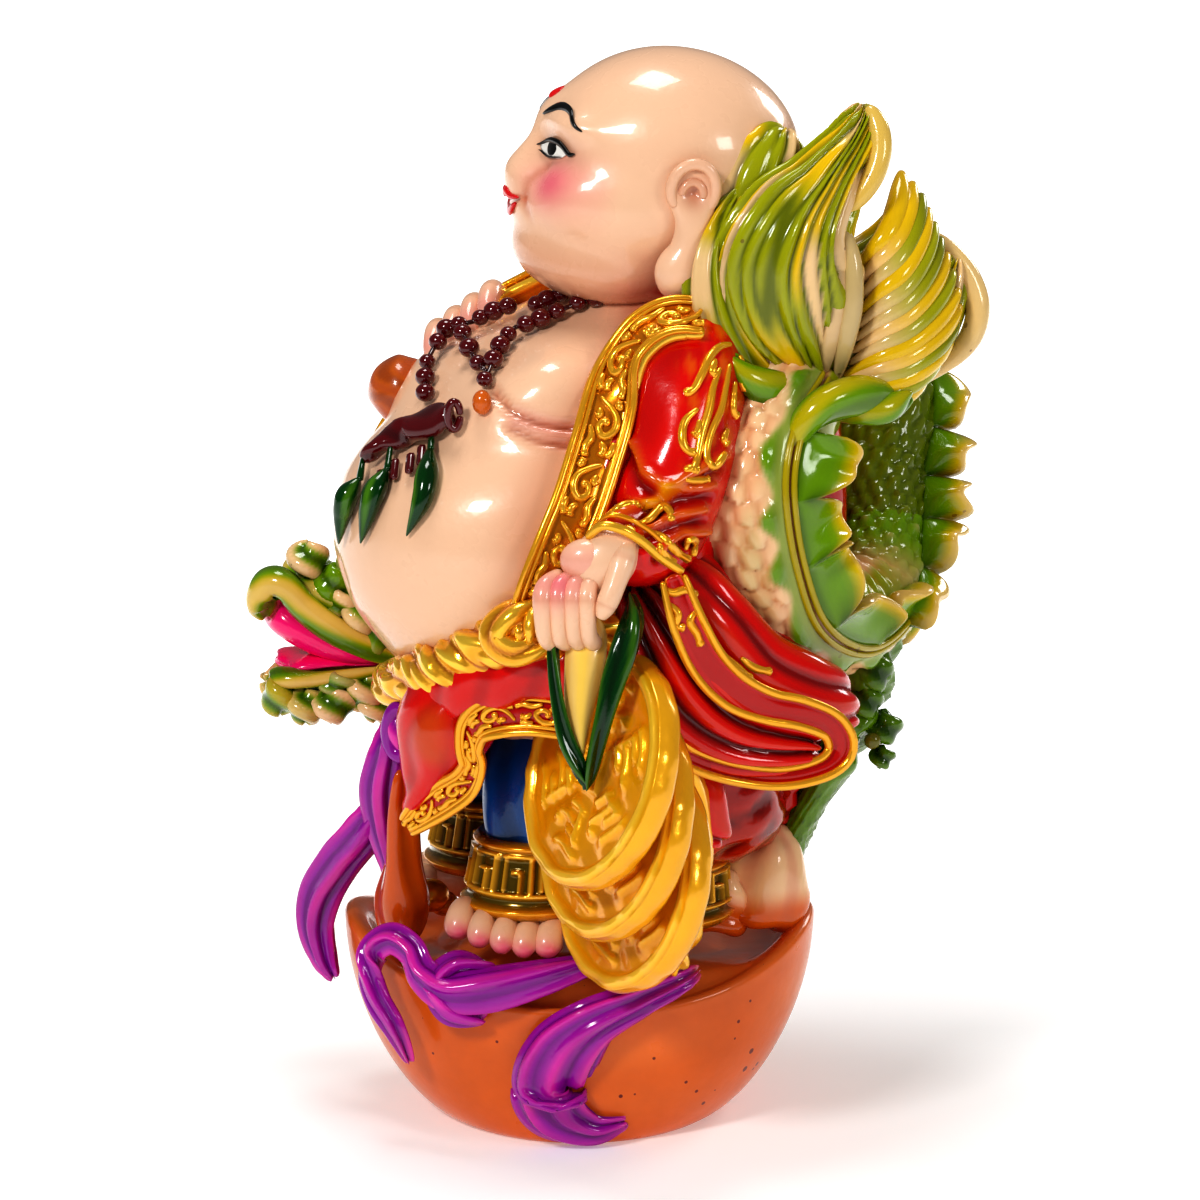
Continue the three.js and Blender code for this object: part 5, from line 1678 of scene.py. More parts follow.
def ribbons():
    """The ribbon that falls from the belt's knot over the ingot's tip, and the two that lie over its rim."""
    forms = [
        ribbon([[-41, -24, 56, 3.4, 3], [-43.6, -23, 47, 4, 3.4], [-45.6, -21, 38, 4.4, 3.6],
                [-45, -19, 29, 4, 3.6], [-43, -18, 20, 3.4, 3], [-42, -18, 12, 2.4]],
               folds=5, side=(1, 0, 0)),
        ribbon([[-44, -19, 34, 4, 3.4], [-49, -15, 27, 5, 4], [-55, -10, 19, 5, 4], [-60, -6, 10, 4.6, 3.6],
                [-62, -5, 1, 4, 3], [-60.5, -6, -7, 3, 2.6], [-58, -8, -12, 1.8]],
               folds=5, side=(1, 0, 0.3)),
        ribbon([[5, -37, 1, 2.6, 2.4], [-1, -40, 0, 3.4, 2.8], [-10, -42, -2, 4.8, 3],
                [-21, -42.5, -4.4, 5.6, 3.2], [-30, -41.5, -5, 4.6, 3.2], [-35.5, -39.5, -1.6, 3.6, 3],
                [-38.4, -37, 3.4, 3, 2.6], [-43, -34, 5.4, 3, 2.6], [-47.4, -31.5, 2, 3, 2.6],
                [-48.4, -31.5, -4, 3, 2.6], [-46.6, -33.5, -10, 3, 2.4], [-43, -35, -16, 2.6, 2.2],
                [-39.4, -35, -24, 1.4]],
               folds=4, side=(0, -0.3, 1), rows=200, fade=(0.0, 0.4)),
        ribbon([[-20, -41, 0, 2], [-28, -41, 1.5, 2.6, 2.4], [-33, -40, -4, 2.8, 2.4],
                [-30, -41, -10, 3, 2.4], [-22, -42, -11.6, 2.4, 2]],
               folds=3, side=(0, -0.3, 1), rows=90, fade=(0.0, 0.3)),
        ribbon([[27, -39, -1, 2.4, 2.2], [22, -42, -3, 3, 2.6], [13.7, -43.4, -6.6, 4, 3],
                [3, -45, -11.6, 6.4, 3.4], [-4, -43.4, -19.5, 8.6, 3.6], [-6.6, -41.4, -28, 9, 3.6],
                [-4.6, -39.4, -35, 7.4, 3.4], [3, -38, -38.8, 4.4, 3], [10.4, -37.4, -37.6, 2.4, 2.2]],
               folds=7, side=(0, -0.3, 1), rows=180, fade=(0.9, 0.3)),
    ]
    angle = linspace(0, tau, 24)
    ring = stack([2.8 * cos(angle) + 0.2 * sin(angle), -1.5 * cos(angle), 5.6 * sin(angle)], axis=-1)
    ring = ring + [-41, -28, 53]
    forms.append(wire(ring, 1.9, (-0.3, -1, 0), sides=20, rows=90).paint(recess=0.1))
    # The knot, magenta on its crests, partly as painted highlight
    forms.append(waved(egg([-41, -26, 53], [3, 3.4, 6.2], 36, 26), 2, 10, 0.5, accent=(0.9, 0, 1)))
    return forms


class FIGURINE_OT_base(bpy.types.Operator):
    """Make the ingot and the purple ribbons that lie over it"""
    bl_idname = "figurine.base"
    bl_label = "Ingot and ribbons"

    def execute(self, context):
        mesh_piece("ingot", [ingot()], ingot_paint())
        mesh_piece("ribbons", ribbons(), ribbon_paint())
        return {"FINISHED"}


# The dragon

# Its body from the tail at the left shoulder: [x, y, z, half width] and where its ridge points
coil = [
    ([52, -17, 134, 11], [0.3, -1, 0.2]), ([44.5, -26, 124, 13.5], [0.3, -1, 0.1]),
    ([40, -31, 111, 14.5], [0.5, -0.9, 0.1]), ([41, -30, 96, 14.5], [0.6, -0.8, -0.1]),
    ([48, -22, 83, 14], [0.6, -0.7, -0.4]), ([59, -8, 75, 12.5], [0.7, -0.5, -0.5]),
    ([68, 6, 77, 11.5], [0.85, -0.4, -0.3]), ([71, 17, 88, 11], [0.95, -0.2, -0.1]),
    ([71, 25, 102, 11], [1, 0, 0]), ([73, 33, 118, 11], [1, 0.2, 0]), ([70, 41, 131, 11], [0.8, 0.5, 0.4]),
    ([54, 46, 129, 11], [0.4, 0.7, 0.7]), ([34, 48, 112, 11], [0.1, 0.8, 0.6]),
    ([14, 49, 92, 11], [0, 0.9, 0.5]), ([-6, 47, 74, 11], [0, 0.9, 0.5]), ([-26, 40, 60, 10], [0, 0.7, 0.7]),
    ([-42, 31, 55, 8.5], [0, 0.3, 1]),
]


def scales(turn, along, around, rows):
    """Heights from 0 to 1 of overlapping round scales, each rising towards its free edge."""
    row = along * rows + 0.18 * sin(7 * tau * turn + 0.6 * np.floor(along * rows))
    column = turn * around + 0.5 * (np.floor(row) % 2) + 0.12 * sin(1.7 * np.floor(row))
    u = 2 * (column % 1) - 1
    v = row % 1
    size = 0.8 + 0.2 * sin(2.3 * np.floor(column) + 1.9 * np.floor(row))
    near = clip(1 - (u ** 2 + (v - 0.15) ** 2 * 0.9), 0, 1)
    return size * near ** 0.6 * (0.3 + 0.7 * v ** 1.5)


def coil_frame(t, turn):
    """The coil's centre, outward direction, direction round it and half width at t along it, turned from its
    ridge."""
    table = [station for station, _ in coil]
    stations = smooth(table, t)
    ridge = smooth([way for _, way in coil], t)
    tangent = unit_of(smooth(table, t + 1e-3)[..., :3] - smooth(table, t - 1e-3)[..., :3])
    ridge = unit_of(ridge - (ridge * tangent).sum(axis=-1, keepdims=True) * tangent)
    across = cross(tangent, ridge)
    angle = radians(np.broadcast_to(turn, np.shape(t)))[..., None]
    outward = cos(angle) * ridge + sin(angle) * across
    return stations[..., :3], outward, cross(tangent, outward), stations[..., 3:4]


def coil_point(t, turn, lift=0.0):
    """The coil's surface at t along it, at a turn in degrees from its ridge."""
    centre, outward, _, half = coil_frame(t, turn)
    return centre + (half + asarray(lift, float)[..., None]) * outward


def coil_part(start, end, rows, across, ground, shadow):
    """A length of the scaly body, from t = start to end.

    The seam runs along its ridge, with a green border on one side and smooth green on the other, and the
    belly behind is ribbed. Past the bend the part turns green by the share `ground`, its hollows darker by
    `shadow`."""
    turn, along = grid_of(across, rows)
    t = mix(start, end, along)
    centre, outward, _, half = coil_frame(t, 360 * turn)
    cap = (1 - np.abs(2 * along - 1) ** 24).clip(0) ** (1 / 24)
    form = Form(centre + outward * half * cap[..., None], turn, along)
    degrees = ((turn + 0.5) % 1 - 0.5) * 360
    height = scales(turn, t, 17, 68)
    far = step(t, 0.33, 0.43)
    scaly = np.maximum(step(degrees, 12, 34) + step(-degrees, 118, 130), far * step(np.abs(degrees), 8, 16))
    belly = bell(degrees + 95, 26) * (1 - far)
    ribs = cos(tau * 44 * t + 0.02 * degrees)
    lobes = cos(tau * 21 * t + 1.2 * sin(40 * t))
    border = step(24 + 7 * lobes - degrees, -4, 4) * step(degrees, 3, 8) * (1 - far)
    lumps = border * step(degrees, 11, 22) * (0.5 + 0.5 * lobes)
    inner = step(-degrees, 2, 5) * step(100 + degrees, 0, 20) * (1 - far)
    raised = drawn("scale_depth") * (2.4 * height * scaly + 0.8 * ribs * belly + 1.4 * lumps)
    form.lift(raised - 0.9 * bell(degrees, 3.2))
    tint = step(sin(31 * t + 0.05 * degrees) + sin(0.11 * degrees - 17 * t), 0.6, 1.6)
    green = far * ground * (1 - 0.5 * step(height, 0.35, 0.8))
    between = (1 - step(height, 0.05, 0.45)) * scaly * (1 - border)
    # Painted shade between the scales, in the troughs of the belly's ribs and in the seam's groove; the
    # border and inner side green, the scales' tops paler past the bend
    return form.paint(
        accent=np.maximum.reduce([border * (0.8 + 0.2 * lumps), inner, green, 0.25 * tint * (1 - belly)]),
        edge=0.5 * far * step(height, 0.55, 0.9) + 0.25 * inner,
        recess=mix(0.4, shadow, far) * between + 0.35 * belly * step(-ribs, 0, 0.8) + 0.7 * bell(degrees, 3))


def dragon_body():
    return [coil_part(0.0, 0.46, 270, 135, 1.0, 0.05), coil_part(0.44, 1.0, 260, 110, 0.4, 0.25)]


def ridge_seam():
    """The thin double line along the coil's ridge."""
    forms = []
    for turn in (-4.4, 4.4):
        line, normal = laid(coil_point, linspace(0.015, 0.6, 70), turn, 0.2)
        forms.append(wire(line, 0.85, normal, sides=12, rows=320).paint(accent=0.65, recess=0.25))
    return forms


def frill(start, end, lengths, turn, lean, rise=0.3, base=4.0, rows_each=34, ruffle=0.12):
    """A ruffled fin along the coil, a row of blunt lobes with the given lengths.

    A section runs from the root out to the edge and back: its reach is r = (1 - cos(2 pi turn)) / 2 of base +
    length (1 - |2 share - 1|^4)^(1 / 2), share being the place on the lobe. The edge bends out by ruffle r^2
    in waves, one for each lobe, so that a lobe's upper side stands forward and its lower side falls back.
    """
    count = len(lengths)
    turns, along = grid_of(32, rows_each * count)
    phase = along * count + 0.14 * sin(tau * along * count * 0.5)
    lobe = clip(phase.astype(int), 0, count - 1)
    share = clip(phase - lobe, 0, 1)
    arch = (1 - np.abs(2 * share - 1) ** 4).clip(0) ** 0.5
    long = asarray(lengths, float)[lobe] * (1 + 0.05 * sin(tau * share + lobe))
    cap = (1 - np.abs(2 * along - 1) ** 30).clip(0) ** (1 / 30)
    reach = (base + long * arch) * cap
    centre, outward, around, half = coil_frame(mix(start, end, along), turn)
    away = unit_of(outward * math.sin(lean) - around * math.cos(lean) + array([0, 0, rise]))
    tangent = cross(outward, around)
    face = unit_of(cross(away, tangent))
    face = face * np.sign((face * outward).sum(axis=-1, keepdims=True))
    r = (1 - cos(tau * turns)) / 2
    side = np.sign(sin(tau * turns)) * np.abs(sin(tau * turns)) ** 0.6
    thick = side * mix(2.8, 2.3, r) * cap
    wave = ruffle * cos(tau * share + 0.5 + 0.7 * sin(lobe * 2.1))
    curl = -0.14 * sin(pi * r) * arch + 0.1 * r ** 3
    bend = (wave * r ** 2 + curl) * reach
    points = centre + outward * (half - 1.5) + away * (reach * r)[..., None]
    form = Form(points + face * (bend + thick)[..., None], turns, along)
    # Yellow towards the edge and cream at the lobes' tips, with painted shade between the lobes and along the
    # root
    rim = step(r, 0.66, 0.97)
    return form.paint(accent=0.85 * rim, edge=0.45 * step(r, 0.9, 1.0) * arch,
                      recess=0.9 * (1 - arch) * step(r, 0.1, 0.5) + 0.4 * bell(r - 0.1, 0.1))


def fins():
    """The ruffled fin inside the coil's bend with its curled first leaf, and the lobes up the coil's back."""
    inner = frill(0.07, 0.38, [11, 9, 10, 9, 8], -6, 0.3, rise=0.25, ruffle=0.22)
    back = frill(0.36, 0.68, [6, 9, 11, 10, 8, 6, 5], -4, 1.2, rise=0.05, base=2.5, ruffle=0.3)
    side = frill(0.37, 0.6, [4, 5, 6, 5, 4], 45, 1.1, rise=0.0, base=1.6, rows_each=24, ruffle=0.2)
    curl = tube([[46.5, -34, 116, 3], [48.5, -36, 124, 4.4, 4], [54, -36, 130, 5.2, 4.4],
                 [61, -33, 132, 5, 4.4], [67, -29, 131, 4.4, 4], [73, -25, 128, 2.6, 3]],
                side=(0.5, -1, 0), around=48, rows=80)
    fold = cos(tau * 2 * curl.turn + 4 * curl.along)
    curl.lift(0.7 * fold)
    # Yellow on the crests as painted highlight and towards the tip, and painted shade in the troughs
    curl.paint(accent=0.5 * step(fold, 0.2, 1) + 0.3 * step(curl.along, 0.7, 1),
               recess=0.4 * step(-fold, 0.2, 1))
    return [inner, back, side, curl]


tail_root = [53, -18, 131]
tail_flames = [
    ([[52, -22, 138, 9, 8], [47.5, -25, 150, 16.5, 11.5], [46.5, -26, 161, 17.5, 11.5],
      [49, -26, 170, 14, 10.5], [54.5, -24, 178, 9.5, 8], [60, -21, 186, 7, 6.5], [63, -19, 192, 6, 5.5],
      [63.6, -18, 196, 5, 4.5]],
     26, 0.12),
    ([[44, -16, 146, 8], [39, -18, 164, 10, 8], [40.5, -19, 177, 10.5, 7], [44.5, -17, 186, 8.5, 6],
      [46.5, -15, 190, 6, 5]], 12, 0.0),
    ([[40, -24, 138, 8], [32, -27, 148, 8.5, 8], [29.5, -27, 160, 7], [32, -25, 170, 5, 5.4],
      [37, -23, 178, 3.2, 3.4]], 12, -0.06),
    ([[60, -18, 142, 10, 7], [68, -15, 153, 13, 7], [73, -12, 163, 9, 6], [75, -10, 173, 5, 4]], 14, 0.0),
    ([[64, -17, 136, 8, 7], [74, -14, 143, 10, 7], [82, -11, 152, 8, 5], [86, -10, 160, 4]], 12, 0.0),
]

# Where the fan's barbs spring from, and where they end, both from the bottom up
fan_stem = [[54, -26, 128], [58.5, -27, 133], [62, -27, 141], [63.5, -26, 150], [63, -22, 160]]

fan_edge = [[79, -18, 134.5], [84, -16, 141], [86.5, -14, 147], [86.5, -13, 153], [84.5, -12, 159.5],
            [82, -12, 165.5], [79.5, -12, 171], [77, -11, 176], [73, -11, 180]]


def flute(path, radii, around=24, rows=50):
    """One rounded strand of the tail, thickest past its middle."""
    stations = column_stack([path, radii, radii])
    return tube(stations, side=(0.3, -1, 0), around=around, rows=rows, blunt=2.6)


def fan_barbs():
    """The barbs of the tail's second flame, which run up and outwards from its stem like a feather's."""
    forms = []
    count = 14
    for i in range(count):
        share = i / (count - 1)
        start = smooth(fan_stem, array([share]))[0]
        tip = smooth(fan_edge, array([share]))[0]
        path = line_of([start + [-1, 3, -2], mix(start, tip, 0.25) + [0.8, -3.2, -1.4],
                        mix(start, tip, 0.5) + [1.6, -5, -2.2], mix(start, tip, 0.78) + [1.2, -3.4, -1.6],
                        tip], 8)
        barb = flute(path, [1.4, 1.9, 2.3, 2.6, 2.7, 2.7, 2.6, 2.2], around=18, rows=40)
        hue = (i * 0.618) % 1
        pale = 0.8 * (1 - step(barb.along, 0.2, 0.6)) * (hue > 0.3)
        forms.append(barb.paint(accent=0.35 + 0.6 * (hue < 0.5), edge=pale + 0.25 * step(barb.along, 0.88, 1),
                                recess=0.35 * (hue > 0.75) * step(barb.along, 0.5, 0.8)))
    rim = line_of([[79, -9, 166], [84.5, -9, 161.5], [89, -9, 155], [91, -10, 148], [89, -11, 141],
                   [84, -12, 136], [77, -14, 131]], 9)
    forms.append(flute(rim, [1.8, 2.2, 2.6, 2.8, 2.8, 2.8, 2.6, 2.2, 1.8]).paint(edge=0.7, accent=0.5))
    stem = line_of([[57, -24, 134], [58.5, -29, 144], [60, -30, 154], [59.5, -29, 164], [57, -27, 171]], 8)
    for aside, tint in ((-2.4, 0.9), (1.2, 0.75)):
        strand = flute(stem + [aside, 0, 0], [1.8, 2.3, 2.6, 2.6, 2.5, 2.3, 2, 1.6])
        forms.append(strand.paint(edge=tint, recess=0.15))
    curl = line_of([[59, -27, 172], [63.5, -26, 177], [67, -24, 184], [67, -22, 191], [64.5, -20.5, 196]], 8)
    forms.append(flute(curl, [1.4, 2, 2.4, 2.6, 2.7, 2.7, 2.6, 2.4]).paint(edge=0.35, accent=0.8))
    return forms


def tail_flame(stations, flutes, twist):
    """A flame whose crests are |cos| round it, of uneven widths and leaning by `twist` of a turn."""
    form = tube([[*tail_root, 6, 6], *stations], side=(1, 0.2, 0), around=7.5 * flutes, rows=80, blunt=2.6)
    turn, along = form.turn, form.along
    lean = twist * sin(pi * along) + 0.014 * sin(7 * along + tau * 3 * turn)
    uneven = 0.013 * sin(tau * 5 * turn + 1) + 0.009 * sin(tau * 11 * turn)
    wave = flutes * (turn + lean + uneven)
    crest = np.abs(cos(pi * wave))
    number = np.round(wave)
    tall = 0.75 + 0.25 * sin(2.1 * number)
    ends = step(along, 0.03, 0.2) * (1 - 0.4 * step(along, 0.85, 1))
    form.lift(drawn("flute_depth") * 1.25 * (crest * tall - 0.6) * ends)
    hue = (number * 0.382) % 1 + 0.25 * sin(9 * along + 1.3 * number)
    pale = step(hue, 0.78, 0.92)
    yellow = step(hue, 0.42, 0.62) * (1 - pale)
    # Painted shade in the troughs between the flutes; some flutes yellow on their crests and some pale,
    # chosen flute by flute
    return form.paint(accent=0.3 + 0.7 * yellow * crest, edge=0.85 * pale + 0.3 * step(along, 0.93, 1),
                      recess=0.6 * (1 - step(crest, 0.1, 0.5)))


def tail_tuft():
    """Fluted flames and a feathery fan in green, yellow and cream, with two leaves at their foot."""
    leaves = []
    for stations in (
            [[50, -26, 131, 4, 3], [44, -33, 133, 5, 3], [38, -36, 137, 4, 2.4], [34, -36, 142, 2, 1.6]],
            [[56, -26, 130, 4, 3], [62, -30, 130, 5, 3], [69, -30, 129, 4.4, 2.4], [75, -27, 131, 2.4, 1.6]]):
        leaf = tube(stations, side=(0, 0.3, 1), around=48)
        # Painted shade in the leaves' troughs, and yellow on their crests as painted highlight
        leaves.append(waved(leaf, 2, 5, 0.6, recess=(0.6, 0, 1), accent=(0.4, 0.4, 1)))
    return [tail_flame(*flame) for flame in tail_flames] + fan_barbs() + leaves


def dragon_root():
    """The foot of the coil down to the ingot's tip: a rough green strip with dark glossy lumps at its top."""
    strip = tube([
        [68, 3, 80, 6, 8], [69, 2, 66, 5.6, 8], [65.5, 2, 52, 5.2, 8], [60.6, 1, 40, 4.8, 8],
        [53.6, 0, 28, 4.2, 8], [49, -1, 17, 4, 7], [46, -2, 8, 4, 6], [44, -3, 1, 4, 6],
    ], side=(1, 0, 0.2), around=90, rows=130, blunt=5)
    x, y, z = moveaxis(strip.points, -1, 0)
    grain = sin(2.3 * x + 1.1 * z) * sin(2.1 * z - 0.9 * x) * sin(1.9 * y + z)
    lumps = cos(0.55 * z + 2 * sin(0.4 * y)) * step(z, 30, 42)
    strip.lift(0.5 * grain + 1.3 * lumps)
    # Green, darker all over and on the grain's high spots, with painted shade in the troughs between the
    # lumps
    strip.paint(accent=1.0, recess=0.3 + 0.3 * step(-lumps, 0.2, 0.9) + 0.35 * step(grain, 0.3, 0.8))
    forms = [strip]
    for centre, radii in (
            ([71.5, -1, 47], [4.2, 5, 3.8]), ([69, -3, 61], [4.2, 5, 4.6]), ([67, -4, 54], [3.8, 4, 4]),
            ([62, -4, 44.5], [3.4, 4.4, 3.6]), ([58, -4, 37], [3.2, 3.6, 3.2]),
            ([71, -4, 40.5], [2.8, 3, 2.4]), ([66, -3, 68.5], [4, 4, 3.4]), ([55, -3, 31.5], [2.6, 3, 2.4])):
        # Each lump green and dark, with deeper painted shade in its troughs
        forms.append(waved(egg(centre, radii, 36, 26), 2, 11, 0.6, accent=1.0, recess=(0.5, -0.6, 0.8, 0.4)))
    forms.append(egg([68.5, -6, 45], [2, 1.6, 2], 20, 14).paint(recess=0.1))
    return forms


def root_pillar():
    """The soft cream folds at the foot of the coil, which spread over the ingot's tip."""
    forms = []
    for stations, folds in (
            ([[47, -3, 24, 4, 6], [46.4, -5, 18, 7, 8], [44, -6.5, 12, 10, 9], [42, -7, 6, 11.5, 9],
              [41, -7, 1, 11, 9]], 5),
            ([[35.5, -9, 15, 3, 6], [34, -10, 10, 6, 7], [32.5, -10, 5, 8, 7], [32, -10, 0, 8, 7]], 3)):
        form = tube(stations, side=(1, 0, 0.2), around=80, rows=60, blunt=4)
        wave = cos(tau * folds * form.turn + 2.5 * sin(4 * form.along) + 6 * form.along)
        ripple = sin(14 * form.along + 3 * sin(tau * form.turn))
        form.lift((0.5 * wave + 0.5 * ripple) * step(form.along, 0.05, 0.3))
        up = form.points[..., 2]
        # Painted shade and a little pink in the troughs, and the ingot's orange towards the bottom
        forms.append(form.paint(accent=0.15 * step(-wave, 0, 1), edge=1 - step(up, 5, 12),
                                recess=0.2 * step(-wave, 0.2, 1)))
    return forms


def curled(stations, folds, lift=0.7, around=48, rows=60, accent=0.5, edge=0.0, recess=0.45):
    """A tapering roll with `folds` waves round it that wind as they run."""
    form = tube(stations, side=(0.1, 0, 1), around=around, rows=rows)
    # Yellow and cream on the crests as painted highlight, and painted shade in the troughs
    return waved(form, folds, 6, lift, accent=(accent, -0.3, 0.9), edge=(edge, 0.2, 1),
                 recess=(recess, 0.1, 1))


def dragon_head():
    """The jaws with their curled lips, the brow, nose and cheek lumps, and the mane's locks."""
    upper = curled([[-34, 33, 59, 7, 10], [-46, 31, 63, 7, 11], [-57, 30, 70, 7, 12], [-65, 29, 75, 6.4, 12],
                    [-71, 27, 76, 4.6, 9]], 3, around=80, rows=80, edge=0.3)
    lip = curled([[-43, 20, 57.6, 2.2, 2], [-49.5, 18.6, 61, 3.2, 2.6], [-58.6, 17.8, 66, 3.8, 3],
                  [-65.4, 17.6, 71.6, 4, 3.2], [-69, 17.8, 76.2, 4, 3.4], [-72.2, 18.6, 77.6, 4.2, 3.6],
                  [-75, 20.4, 75.6, 4.6, 3.8], [-75.6, 22.4, 71.4, 4.6, 3.8], [-75, 23.6, 67.6, 3, 2.6]],
                 2, lift=0.5, rows=90, accent=0.8, edge=0.35, recess=0.4)
    lower = curled([[-34, 33, 52, 6, 9], [-48, 29, 51.2, 5.4, 11], [-58, 28.6, 50, 5.6, 11.4],
                    [-66, 28.6, 49.4, 5.6, 11], [-72, 28, 50, 5, 9.6], [-75.4, 27, 51, 3, 6]],
                   5, lift=1.1, around=90, rows=80, edge=0.8, accent=0.7)
    rim = curled([[-44, 20, 55.2, 1.8, 1.6], [-54, 18.5, 54.4, 2.2, 2], [-63, 18.3, 53.8, 2.4, 2.2],
                  [-70, 18.8, 54, 2.8, 2.6], [-74, 21.6, 53.6, 2.8, 2.6]],
                 2, lift=0.4, accent=0.8, edge=0.4)
    forms = [upper, lip, lower, rim]
    lumps = (
        ([-64.5, 22, 82], [5, 4.8, 4.2], 0.3, 0.9), ([-58.6, 20, 77], [4.2, 4, 4.2], 0.0, 0.0),
        ([-56.5, 19.4, 72.6], [4, 3.4, 3.4], 0.5, 0.9), ([-54, 22, 79.4], [4.2, 4, 5], 0.0, 0.3),
        ([-51.6, 18.8, 69.6], [4.6, 3.8, 4.6], 0.3, 0.8), ([-47.4, 19.6, 65], [4.4, 4, 5], 0.1, 0.2),
        ([-71.6, 20, 49.4], [4.4, 4.4, 4.6], 0.5, 0.1), ([-65.4, 18.4, 47], [4.6, 4, 4], 0.5, 0.5),
        ([-58.6, 17.8, 47.6], [5.4, 3.8, 4.2], 0.3, 1.0), ([-57.4, 17.4, 53], [4.4, 2.6, 2.4], 0.0, 0.4),
        ([-51.6, 18.2, 50.4], [4.8, 3.6, 4], 0.4, 0.9), ([-48.4, 19, 47], [4.8, 4, 3.6], 0.6, 0.9),
    )
    # Each lump yellow and cream on its crests, partly as painted highlight, with painted shade in its troughs
    for k, (centre, radii, yellow, pale) in enumerate(lumps):
        forms.append(waved(egg(centre, radii, 36, 26), 2, 9, 0.8, shift=1.7 * k, accent=(yellow, -0.5, 0.7),
                           edge=(pale, -0.3, 0.6), recess=(0.7, 0.3, 1)))
    for stations in (
            [[-42, 30, 64, 6, 5], [-36, 34, 74, 5, 3], [-28, 40, 84, 2]],
            [[-40, 38, 60, 6, 5], [-32, 46, 68, 5, 3], [-22, 50, 76, 2]],
            [[-47, 21, 70, 4, 3], [-46, 23, 78, 3.6, 2.6], [-44.6, 25, 85, 1.8, 1.6]]):
        forms.append(curled(stations, 4, rows=50))
    return forms


def dragon_mouth():
    """The palate, the tongue and the back of the mouth, dark red towards the throat as painted shade."""
    side = (0.1, 0, 1)
    palate = tube([[-38, 31, 56.6, 3.6, 9], [-45, 30, 57.8, 3.8, 10], [-53.6, 29, 59.2, 4.4, 10.8],
                   [-61, 28.4, 62, 5, 11], [-67.6, 28, 66, 5.4, 10.8], [-73, 28, 69.6, 5, 9],
                   [-75.6, 27, 71, 3, 5]], side=side, around=60)
    # Dark red towards the throat as painted shade, and cream at the front
    palate.paint(accent=1 - step(palate.along, 0.1, 0.42), edge=0.85 * step(palate.along, 0.8, 0.97))
    tongue = tube([[-38, 31, 56.6, 3, 9], [-47, 30, 57.4, 2, 10], [-55, 29.5, 57, 1.9, 10.6],
                   [-63.5, 29, 56.4, 2, 10.4], [-70, 28.6, 56, 2, 9], [-72.6, 28, 56.2, 1.4, 6]],
                  side=side, around=60, rows=50)
    # The tongue's back dark red as painted shade
    waved(tongue, 2, 14, 0.5, accent=0.8 * (1 - step(tongue.along, 0.1, 0.5)))
    back = tube([[-30, 34, 56, 9, 10], [-38, 32, 57, 7, 10], [-46, 31, 58, 4, 8]], side=side, around=48,
                rows=30)
    return [palate, tongue, back.paint(accent=1.0)]


class FIGURINE_OT_dragon(bpy.types.Operator):
    """Make the dragon: coil, seam, fins, tail tuft, root, head and mouth"""
    bl_idname = "figurine.dragon"
    bl_label = "Dragon"

    def execute(self, context):
        upper, lower = dragon_body()
        mesh_piece("dragon_coil", [upper], scale_paint())
        mesh_piece("dragon_coil_back", [lower], back_scale_paint())
        mesh_piece("dragon_root", dragon_root(), back_scale_paint())
        mesh_piece("root_pillar", root_pillar(), pillar_paint())
        mesh_piece("dragon_fins", [*ridge_seam(), *fins()], leaf_paint())
        mesh_piece("dragon_tail", tail_tuft(), leaf_paint())
        mesh_piece("dragon_head", dragon_head(), leaf_paint())
        mesh_piece("dragon_mouth", dragon_mouth(), mouth_paint())
        return {"FINISHED"}


# The stage

camera_elevation = math.radians(13)
camera_distance = 1.150
camera_target = (0.0, 0.0, 0.125)
camera_lens_mm = 147.85
camera_shift = (0.0171, -0.0125)
world_strength = 0.15

# The floor's glow beside the figurine and behind it
floor_glow = (0.2, 0.85)


def paper_material():
    """The pale floor, which glows a little near the figurine and more behind it, as lit backdrop paper."""
    paper = bpy.data.materials.new("Pale floor")
    paper.use_nodes = True
    tree = paper.node_tree
    place = tree.nodes.new("ShaderNodeTexCoord").outputs["Object"]
    depth = node(tree, "ShaderNodeSeparateXYZ", Vector=place).outputs[1]
    near, far = floor_glow
    glow = node(tree, "ShaderNodeMapRange", Value=depth, _1=0.05, _2=0.7, _3=near, _4=far).outputs[0]
    looks = {"Base Color": (0.9, 0.9, 0.9, 1), "Roughness": 0.9, "Specular IOR Level": 0.0,
             "Emission Color": (1, 1, 1, 1), "Emission Strength": glow}
    for key, value in looks.items():
        connect(tree, value, tree.nodes["Principled BSDF"].inputs[key])
    return paper


def soft_light(name, place, size, power):
    """A square soft light that looks at the figurine."""
    light = bpy.data.lights.new(name, "AREA")
    light.shape = "SQUARE"
    light.size = size
    light.energy = power
    lamp = bpy.data.objects.new(name, light)
    lamp.location = place
    aim = Vector(camera_target) - Vector(place)
    lamp.rotation_euler = aim.to_track_quat("-Z", "Y").to_euler()
    bpy.context.scene.collection.objects.link(lamp)


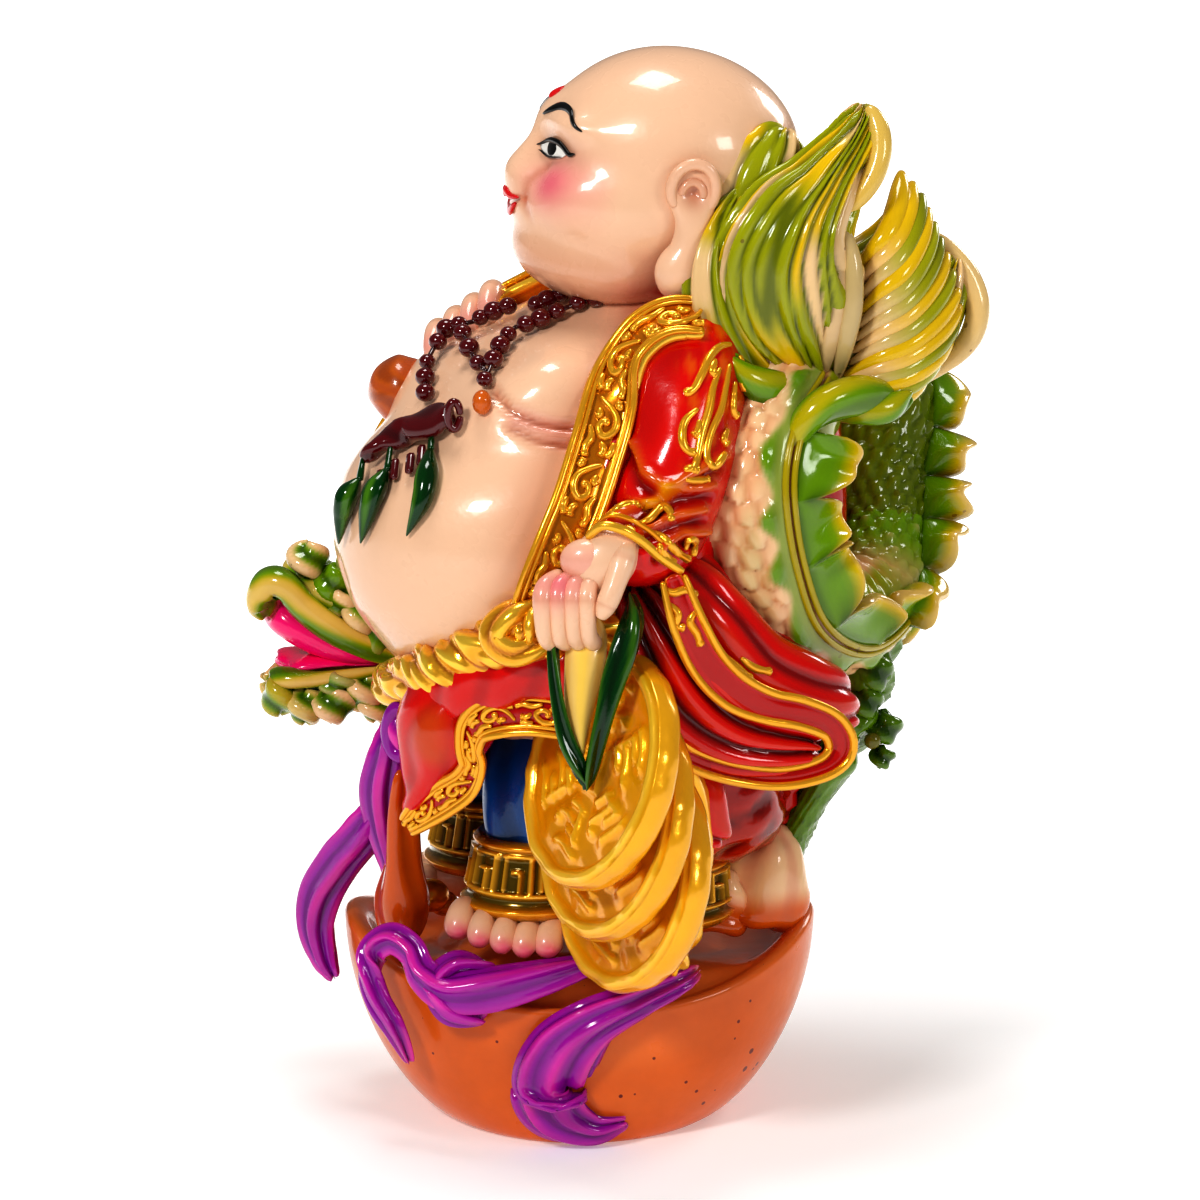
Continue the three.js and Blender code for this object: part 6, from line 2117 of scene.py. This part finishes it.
class FIGURINE_OT_stage(bpy.types.Operator):
    """Make the pale floor, the soft lights and the camera"""
    bl_idname = "figurine.stage"
    bl_label = "Stage"

    def execute(self, context):
        mesh = bpy.data.meshes.new("floor")
        half = 6.0
        mesh.from_pydata([(-half, -half, 0), (half, -half, 0), (half, half, 0), (-half, half, 0)], [],
                         [(0, 1, 2, 3)])
        mesh.materials.append(paper_material())
        floor = bpy.data.objects.new("floor", mesh)
        context.scene.collection.objects.link(floor)
        soft_light("key", (-0.65, -1.0, 0.95), 0.25, 7.0)
        soft_light("fill", (0.95, -0.9, 0.6), 0.3, 2.5)
        soft_light("top", (-0.1, 0.1, 1.4), 0.45, 5.1)
        soft_light("rim", (0.9, 0.8, 0.7), 0.4, 3.3)
        world = bpy.data.worlds.new("studio")
        world.use_nodes = True
        background = world.node_tree.nodes["Background"]
        background.inputs[0].default_value = (1, 1, 1, 1)
        background.inputs[1].default_value = world_strength
        context.scene.world = world
        camera = bpy.data.cameras.new("camera")
        camera.lens = camera_lens_mm
        camera.sensor_width = 36
        camera.shift_x, camera.shift_y = camera_shift
        camera.clip_end = 50
        eye = bpy.data.objects.new("camera", camera)
        away = array([0, -math.cos(camera_elevation), math.sin(camera_elevation)]) * camera_distance
        eye.location = array(camera_target) + away
        eye.rotation_euler = (math.pi / 2 - camera_elevation, 0, 0)
        context.scene.collection.objects.link(eye)
        context.scene.camera = eye
        context.scene.view_settings.view_transform = "Standard"
        context.scene.view_settings.look = "High Contrast"
        return {"FINISHED"}


class FIGURINE_PT_panel(bpy.types.Panel):
    """Settings and steps of the figurine"""
    bl_idname = "FIGURINE_PT_panel"
    bl_label = "Figurine"
    bl_space_type = "VIEW_3D"
    bl_region_type = "UI"
    bl_category = "Figurine"

    def draw(self, context):
        for group in (context.scene.figurine_sizes, context.scene.figurine_paints):
            for key in group.__annotations__:
                self.layout.prop(group, key)
        for step_class in steps:
            self.layout.operator(step_class.bl_idname)


steps = (
    FIGURINE_OT_stage, FIGURINE_OT_base, FIGURINE_OT_trousers, FIGURINE_OT_monk, FIGURINE_OT_robe,
    FIGURINE_OT_gold_trim, FIGURINE_OT_worn, FIGURINE_OT_coins, FIGURINE_OT_dragon,
)
groups = (FigurineSizes, FigurinePaints)


def register():
    for kind in (*groups, *steps, FIGURINE_PT_panel):
        bpy.utils.register_class(kind)
    bpy.types.Scene.figurine_sizes = bpy.props.PointerProperty(type=FigurineSizes)
    bpy.types.Scene.figurine_paints = bpy.props.PointerProperty(type=FigurinePaints)


def unregister():
    del bpy.types.Scene.figurine_paints
    del bpy.types.Scene.figurine_sizes
    for kind in reversed((*groups, *steps, FIGURINE_PT_panel)):
        bpy.utils.unregister_class(kind)


def main():
    register()
    for step_class in steps:
        family, name = step_class.bl_idname.split(".")
        if getattr(getattr(bpy.ops, family), name)() != {"FINISHED"}:
            raise RuntimeError(f"{step_class.bl_label} did not finish")


if __name__ == "__main__":
    main()
